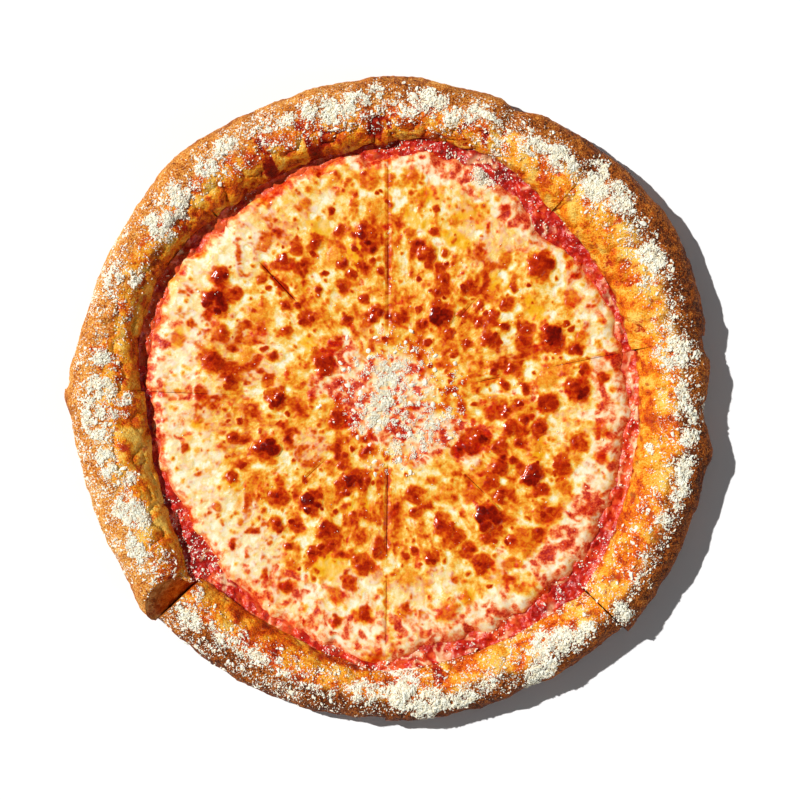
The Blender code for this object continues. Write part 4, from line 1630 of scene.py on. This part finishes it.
@dataclass
class Grated:
    """Loose grated cheese of one kind, as one piece.

    Fields:
        name: The piece's name.
        finish: Its finish.
        crumb: The shape of its crumbs.
        sizes: Smallest and largest crumb in millimetres.
        seed: Picks the shapes.
        small: How much commoner small crumbs are than large ones.
        length: Least and most length of a crumb for its size.
        width: Least and most width.
        thickness: Least and most thickness, before flatten.
        flatten: How flat the crumbs are.
        tilt: How far the crumbs lean from the surface that they lie on.
        top: Height that no crumb passes.
    """

    name: str
    finish: bpy.types.Material
    crumb: Crumb
    sizes: tuple[float, float]
    seed: int
    small: float = 1.6
    length: tuple[float, float] = (0.8, 1.7)
    width: tuple[float, float] = (0.6, 1.0)
    thickness: tuple[float, float] = (0.8, 1.2)
    flatten: float = 0.8
    tilt: float = 0.45
    top: float = 29.75 * MM

    def one(self) -> bpy.types.Mesh:
        """One plain crumb, one unit across."""
        bm = bmesh.new()
        if self.crumb is Crumb.CHIP:
            bmesh.ops.create_uvsphere(bm, u_segments=4, v_segments=2, radius=0.5)
        else:
            rounds = 1 if self.crumb is Crumb.GRAIN else 2
            bmesh.ops.create_icosphere(bm, subdivisions=rounds, radius=0.5)
        return as_mesh(bm, "one_crumb")

    def many(self, count: int) -> bpy.types.Mesh:
        """A mesh of count plain crumbs, each crumb's points one after another."""
        one = self.one()
        bm = bmesh.new()
        for _ in range(count):
            bm.from_mesh(one)
        bpy.data.meshes.remove(one)
        return as_mesh(bm, self.name)

    def build(self, centres: Array, ups: Array) -> None:
        """Makes the crumbs.

        Args:
            centres: Their middles, in the pizza's frame.
            ups: The direction that each faces, away from what it lies on.
        """
        draw = np.random.default_rng(self.seed)
        count = len(centres)
        mesh = self.many(count)
        shape = coordinates(mesh).reshape(count, self.crumb.value, 3)
        spread = (0.8, 1.15) if self.crumb is Crumb.LUMP else (0.5, 1.4)
        shape = shape * draw.uniform(*spread, (count, self.crumb.value, 1))
        size = draw.uniform(0, 1, count) ** self.small
        size = (self.sizes[0] + (self.sizes[1] - self.sizes[0]) * size) * MM
        stretch = np.stack((
            draw.uniform(*self.length, count), draw.uniform(*self.width, count),
            self.flatten * draw.uniform(*self.thickness, count),
        ), axis=-1)
        shape = shape * (size[:, None] * stretch)[:, None, :]
        ups = ups + self.tilt * draw.normal(size=(count, 3))
        ups /= np.linalg.norm(ups, axis=1)[:, None]
        other = draw.normal(size=(count, 3))
        first = np.cross(ups, other)
        first /= np.linalg.norm(first, axis=1)[:, None]
        second = np.cross(ups, first)
        axes = np.stack((first, second, ups), axis=1)
        points = np.einsum("nki,nij->nkj", shape, axes) + centres[:, None, :]
        over = np.maximum(points[:, :, 2].max(axis=1) - self.top, 0)
        points[:, :, 2] -= over[:, None]
        move_points(mesh, points.reshape(-1, 3))
        turn_outwards(mesh)
        mesh.shade_flat()
        add_piece(mesh, self.name, self.finish)


# How far crumbs stray from the places that are drawn for them, and how much commoner they are at
# the bottom of a heap than at its top
STRAY = 0.45 * MM
HEAP_CURVE = 1.5


def sprinkle(
    surfaces: Sequence[Surface], density: Callable[[Surface], Array], count: int,
    heap: float, sink: float, seed: int,
) -> tuple[Array, Array]:
    """Places for crumbs on the surfaces.

    Args:
        surfaces: What they lie on.
        density: Gives how thickly they lie at each point of a surface.
        count: How many there are.
        heap: How high they pile up where they lie thickest, in millimetres.
        sink: How far the lowest sit above the surface, in millimetres.
        seed: Picks the places.

    Returns:
        The crumbs' middles and the directions away from the surface.
    """
    draw = np.random.default_rng(seed)
    thick = np.concatenate([density(surface) for surface in surfaces])
    area = np.concatenate([surface.areas for surface in surfaces])
    points = np.concatenate([surface.points for surface in surfaces])
    ups = np.concatenate([surface.normals for surface in surfaces])
    chance = thick * area
    picked = draw.choice(len(points), count, p=chance / chance.sum())
    ups, base = ups[picked], points[picked]
    jitter = draw.normal(scale=STRAY, size=(count, 3))
    jitter -= (jitter * ups).sum(axis=1)[:, None] * ups
    rise = (sink + heap * thick[picked] * draw.random(count) ** HEAP_CURVE) * MM
    return base + jitter + ups * rise[:, None], ups


@dataclass
class GratedCheeseLayers:
    """All the grated cheese: on the rim, round the middle, and on the sauce."""

    finish: bpy.types.Material
    crust: Crust
    sauce: Sauce
    cheese: Cheese

    # The largest lumps, which the solids have too
    lump_seed: int = 14
    rim_lumps: int = 11
    middle_lumps: int = 6
    rim_lump_size: tuple[float, float] = (2.6 * MM, 4.2 * MM)
    middle_lump_size: tuple[float, float] = (2.2 * MM, 3.6 * MM)
    middle_reach: tuple[float, float] = (9 * MM, 42 * MM)
    lump_margin: float = 0.045
    lump_sink: float = 0.18
    lumped_bearings: Knots = (
        (0, 10), (24, 47), (52, 64), (69, 105), (120, 131), (136, 149), (152, 160), (171, 196),
        (199, 217), (226, 252), (255, 283), (297, 314), (319, 346), (352, 360),
    )

    # The heap at the pizza's middle, where the tips of the slices meet
    tip_count: int = 90
    tip_spread: float = 1.9 * MM
    tip_heights: tuple[float, float] = (11.4, 14.2)

    # Heaps round the middle: bearing, radius and size in millimetres, and how thickly they lie
    heaps: tuple[tuple[float, float, float, float], ...] = (
        (150, 4, 8, 0.9), (215, 14, 12, 0.75), (290, 6, 14, 0.6), (315, 24, 15, 0.62),
        (285, 30, 13, 0.5), (10, 16, 15, 0.42), (95, 14, 14, 0.66), (60, 25, 13, 0.36),
        (340, 34, 12, 0.4), (135, 24, 8, 0.25), (170, 24, 8, 0.25), (15, 36, 10, 0.3),
        (90, 34, 8, 0.25), (262, 34, 8, 0.25),
    )
    edge_heap: Patch = Patch((64.5, 69), (130, 137), 1.0)
    sauce_patches: tuple[Patch, ...] = (
        Patch((40, 66), (124, 144), 0.45), Patch((64, 70), (128, 142), 1.0),
        Patch((70, 92), (134, 144), 0.8), Patch((122, 130), (130, 142), 0.4),
        Patch((203, 226), (124, 146), 0.8), Patch((255, 271), (132, 150), 0.8),
        Patch((276, 300), (126, 146), 0.4), Patch((305, 330), (128, 148), 0.7),
        Patch((340, 358), (130, 142), 0.35), Patch((150, 176), (132, 140), 0.2),
    )

    @staticmethod
    def on_rim(surface: Surface) -> Array:
        """How thickly grated cheese lies on the rim."""
        thick = np.zeros(len(surface.points))
        for bearing, radius, length, width, weight in DUSTED:
            away = turned(surface.bearing, bearing) / length
            across = (surface.radius - radius) / width
            thick = np.maximum(thick, weight * smooth(1.55, 0.6, np.hypot(away, across)))
        clumps = Noise.layers(surface.points, 3.6 * MM, 201)
        thick = thick * smooth(-0.5, 0.4, clumps + 0.9 * (thick - 0.6))
        stray = 0.03 + 0.11 * smooth(-0.3, 0.6, Noise.layers(surface.points, 7 * MM, 207))
        stray = stray * smooth(143, 153, surface.radius) * smooth(173.5, 167, surface.radius)
        return thick**1.3 + stray

    def on_middle(self, surface: Surface) -> Array:
        """How thickly grated cheese lies on the melted cheese."""
        turn = np.radians(surface.bearing)
        x, y = surface.radius * np.cos(turn), surface.radius * np.sin(turn)
        thick = np.zeros(len(x))
        for bearing, far, size, weight in self.heaps:
            right, up = spot(bearing, far)
            away = np.hypot(x - right, y - up) / size
            thick = np.maximum(thick, weight * smooth(1.3, 0.3, away))
        clumps = Noise.layers(surface.points, 2.2 * MM, 211)
        thick = thick * smooth(-0.02, 0.5, clumps + 0.6 * (thick - 0.6))
        return thick + self.edge_heap.at(surface.bearing, surface.radius) + 0.0003

    def on_sauce(self, surface: Surface) -> Array:
        """How thickly grated cheese lies on the sauce."""
        thick = strongest(self.sauce_patches, surface.bearing, surface.radius)
        return thick * smooth(-0.5, 0.5, Noise.layers(surface.points, 4 * MM, 221)) + 0.004

    def lump_places(self) -> Array:
        """Middles of the largest lumps, where the solids have them."""
        draw = random.Random(self.lump_seed)
        centres: list[Array] = []

        def one(piece: Slice, local: Array) -> None:
            """Keeps one lump, and passes over the draws that shape the solid's own."""
            centres.append(FORM.place(piece, np.array(local)))
            for _ in range(12):
                draw.uniform(0.8, 1.12)
            draw.uniform(0.75, 1.25)
            draw.uniform(0.75, 1.1)
            draw.uniform(0, math.tau)
            draw.random()
            draw.random()

        for piece in SLICES:
            margin = self.lump_margin
            for place in range(self.rim_lumps):
                for _ in range(6):
                    share = margin + (1 - 2 * margin) * (place + draw.random()) / self.rim_lumps
                    bearing = piece.bearing(share) % 360
                    if any(first <= bearing <= last for first, last in self.lumped_bearings):
                        break
                else:
                    continue
                radius, height = FORM.section(draw.uniform(62, 122))
                size = draw.uniform(*self.rim_lump_size)
                one(piece, FORM.knead(piece, share, radius, height - self.lump_sink * size))
            near, far = self.middle_reach
            for place in range(self.middle_lumps):
                radius = near + (far - near) * (place + draw.random()) / self.middle_lumps
                size = draw.uniform(*self.middle_lump_size)
                clear = size / radius
                angle = draw.uniform(clear, piece.span - clear)
                share = np.array([angle / piece.span])
                swell = float(Cheese.swell(piece, share, np.array([radius]))[0])
                bottom = FORM.dough_top + FORM.sauce_depth + 2 * FORM.layer_gap
                height = bottom + FORM.cheese_depth + swell - self.lump_sink * size
                one(piece, (radius * math.cos(angle), radius * math.sin(angle), height))
        return np.array(centres)

    def build(self) -> None:
        """Makes every kind of grated cheese."""
        rim = (self.crust.surfaces, self.on_rim, 0.8, 0.12)
        middle = (self.cheese.surfaces, self.on_middle, 1.2, 0.15)
        sauce = (self.sauce.surfaces, self.on_sauce, 0.3, 0.12)
        for name, crumb, sizes, count, seed, (surfaces, density, heap, sink) in (
            ("rim_dust", Crumb.CHIP, (0.35, 0.75), 23000, 300, rim),
            ("rim_flakes", Crumb.CHIP, (0.6, 1.0), 20500, 308, rim),
            ("rim_chips", Crumb.CHIP, (0.7, 1.4), 12000, 301, rim),
            ("rim_grains", Crumb.GRAIN, (0.9, 2.2), 4900, 302, rim),
            ("middle_chips", Crumb.CHIP, (0.35, 1.0), 10500, 303, middle),
            ("middle_grains", Crumb.GRAIN, (0.8, 1.7), 140, 304, middle),
            ("sauce_chips", Crumb.GRAIN, (0.5, 1.3), 1200, 305, sauce),
        ):
            places = sprinkle(surfaces, density, count, heap, sink, seed)
            Grated(name, self.finish, crumb, sizes, seed).build(*places)
        self.tip_heap(306)
        centres = self.lump_places()
        ups = np.tile((0.0, 0.0, 1.0), (len(centres), 1))
        Grated("largest_lumps", self.finish, Crumb.LUMP, (2.4, 3.8), 307).build(centres, ups)

    def tip_heap(self, seed: int) -> None:
        """Makes the heap at the pizza's middle."""
        draw = np.random.default_rng(seed)
        count = self.tip_count
        centres = np.zeros((count, 3))
        centres[:, :2] = draw.normal(scale=self.tip_spread, size=(count, 2)) + FORM.middle
        centres[:, 2] = draw.uniform(*self.tip_heights, count) * MM
        ups = np.tile((0.0, 0.0, 1.0), (count, 1))
        Grated("tip_grains", self.finish, Crumb.GRAIN, (1.0, 2.2), seed).build(centres, ups)


# The studio


@dataclass(frozen=True)
class Lamp:
    """A lamp as far away as the sun.

    Fields:
        name: Its name.
        strength: Its strength.
        angle: How wide it looks, in degrees, which softens the shadows.
        bearing: Where it stands.
        elevation: How high it stands, in degrees.
        colour: Its colour.
    """

    name: str
    strength: float
    angle: float
    bearing: float
    elevation: float
    colour: Triple

    def build(self) -> None:
        """Makes the lamp."""
        light = bpy.data.lights.new(self.name, "SUN")
        light.energy = self.strength
        light.angle = math.radians(self.angle)
        light.color = self.colour
        made = add_object(self.name, light)
        rise = math.radians(self.elevation)
        towards = Vector((*spot(self.bearing, math.cos(rise)), math.sin(rise)))
        made.rotation_euler = towards.to_track_quat("Z", "Y").to_euler()
        made.location = towards * 2


@dataclass(frozen=True)
class Studio:
    """Floor, light and camera of a view from straight above."""

    picture_width: int = 800
    pixel: float = 0.545 * MM
    middle_column: int = 388
    distance: float = 2.6
    focus_height: float = 0.012
    sensor: float = 36.0
    lamps: tuple[Lamp, ...] = (
        Lamp("key", 3.95, 1.4, 155.0, 50.0, (1.0, 0.99, 0.98)),
        Lamp("fill", 0.5, 40.0, 335.0, 22.0, (0.92, 0.97, 1.0)),
    )
    sky_colour: tuple[float, float, float, float] = (0.95, 0.97, 1.0, 1.0)
    sky_strength: float = 0.08
    floor_reach: float = 3.0
    floor_gap: float = 0.2 * MM

    def floor(self) -> None:
        """A plain pale floor, just under the pizza."""
        bm = bmesh.new()
        bmesh.ops.create_grid(bm, x_segments=8, y_segments=8, size=self.floor_reach)
        bmesh.ops.translate(bm, verts=bm.verts, vec=(0, 0, -self.floor_gap))
        mesh = as_mesh(bm, "floor")
        paint = Painter("pale_floor")
        tone = paint.ramp(paint.noise(400, 1), ((0.0, (250, 250, 250)), (1.0, (254, 254, 254))))
        mesh.materials.append(paint.finish(tone, 0.9, paint.noise(3, 1), 0.01, 0.1))
        made = add_object("floor", mesh)

    def surround(self) -> None:
        """A weak pale sky."""
        world = bpy.data.worlds.new("surround")
        world.use_nodes = True
        background = world.node_tree.nodes["Background"]
        background.inputs["Color"].default_value = self.sky_colour
        background.inputs["Strength"].default_value = self.sky_strength
        bpy.context.scene.world = world

    def camera(self) -> None:
        """A long lens that looks straight down, framed as the photograph is."""
        data = bpy.data.cameras.new("camera")
        data.sensor_width = self.sensor
        data.lens = self.sensor * self.distance / (self.picture_width * self.pixel)
        data.clip_start, data.clip_end = 0.05, 50
        made = add_object("camera", data)
        aside = (self.picture_width / 2 - self.middle_column) * self.pixel
        height = self.distance + self.focus_height
        made.location = (FORM.middle[0] + aside, FORM.middle[1], height)
        bpy.context.scene.camera = made

    def build(self) -> None:
        """Sets the stage: a lamp to the upper left and a weak broad one opposite."""
        self.floor()
        for lamp in self.lamps:
            lamp.build()
        self.surround()
        self.camera()
        bpy.context.scene.view_settings.view_transform = "Standard"


def main() -> None:
    """Builds every piece."""
    logging.basicConfig(level=logging.INFO, format="%(message)s")
    specks = speckle_group()
    crust = Crust(BakedDough(specks).material())
    crust.build()
    sauce = Sauce(WetSauce(specks).material())
    sauce.build()
    cheese = Cheese(MeltedCheese(specks).material())
    cheese.build()
    GratedCheeseLayers(GratedCheese(specks).material(), crust, sauce, cheese).build()
    Studio().build()


if __name__ == "__main__":
    main()
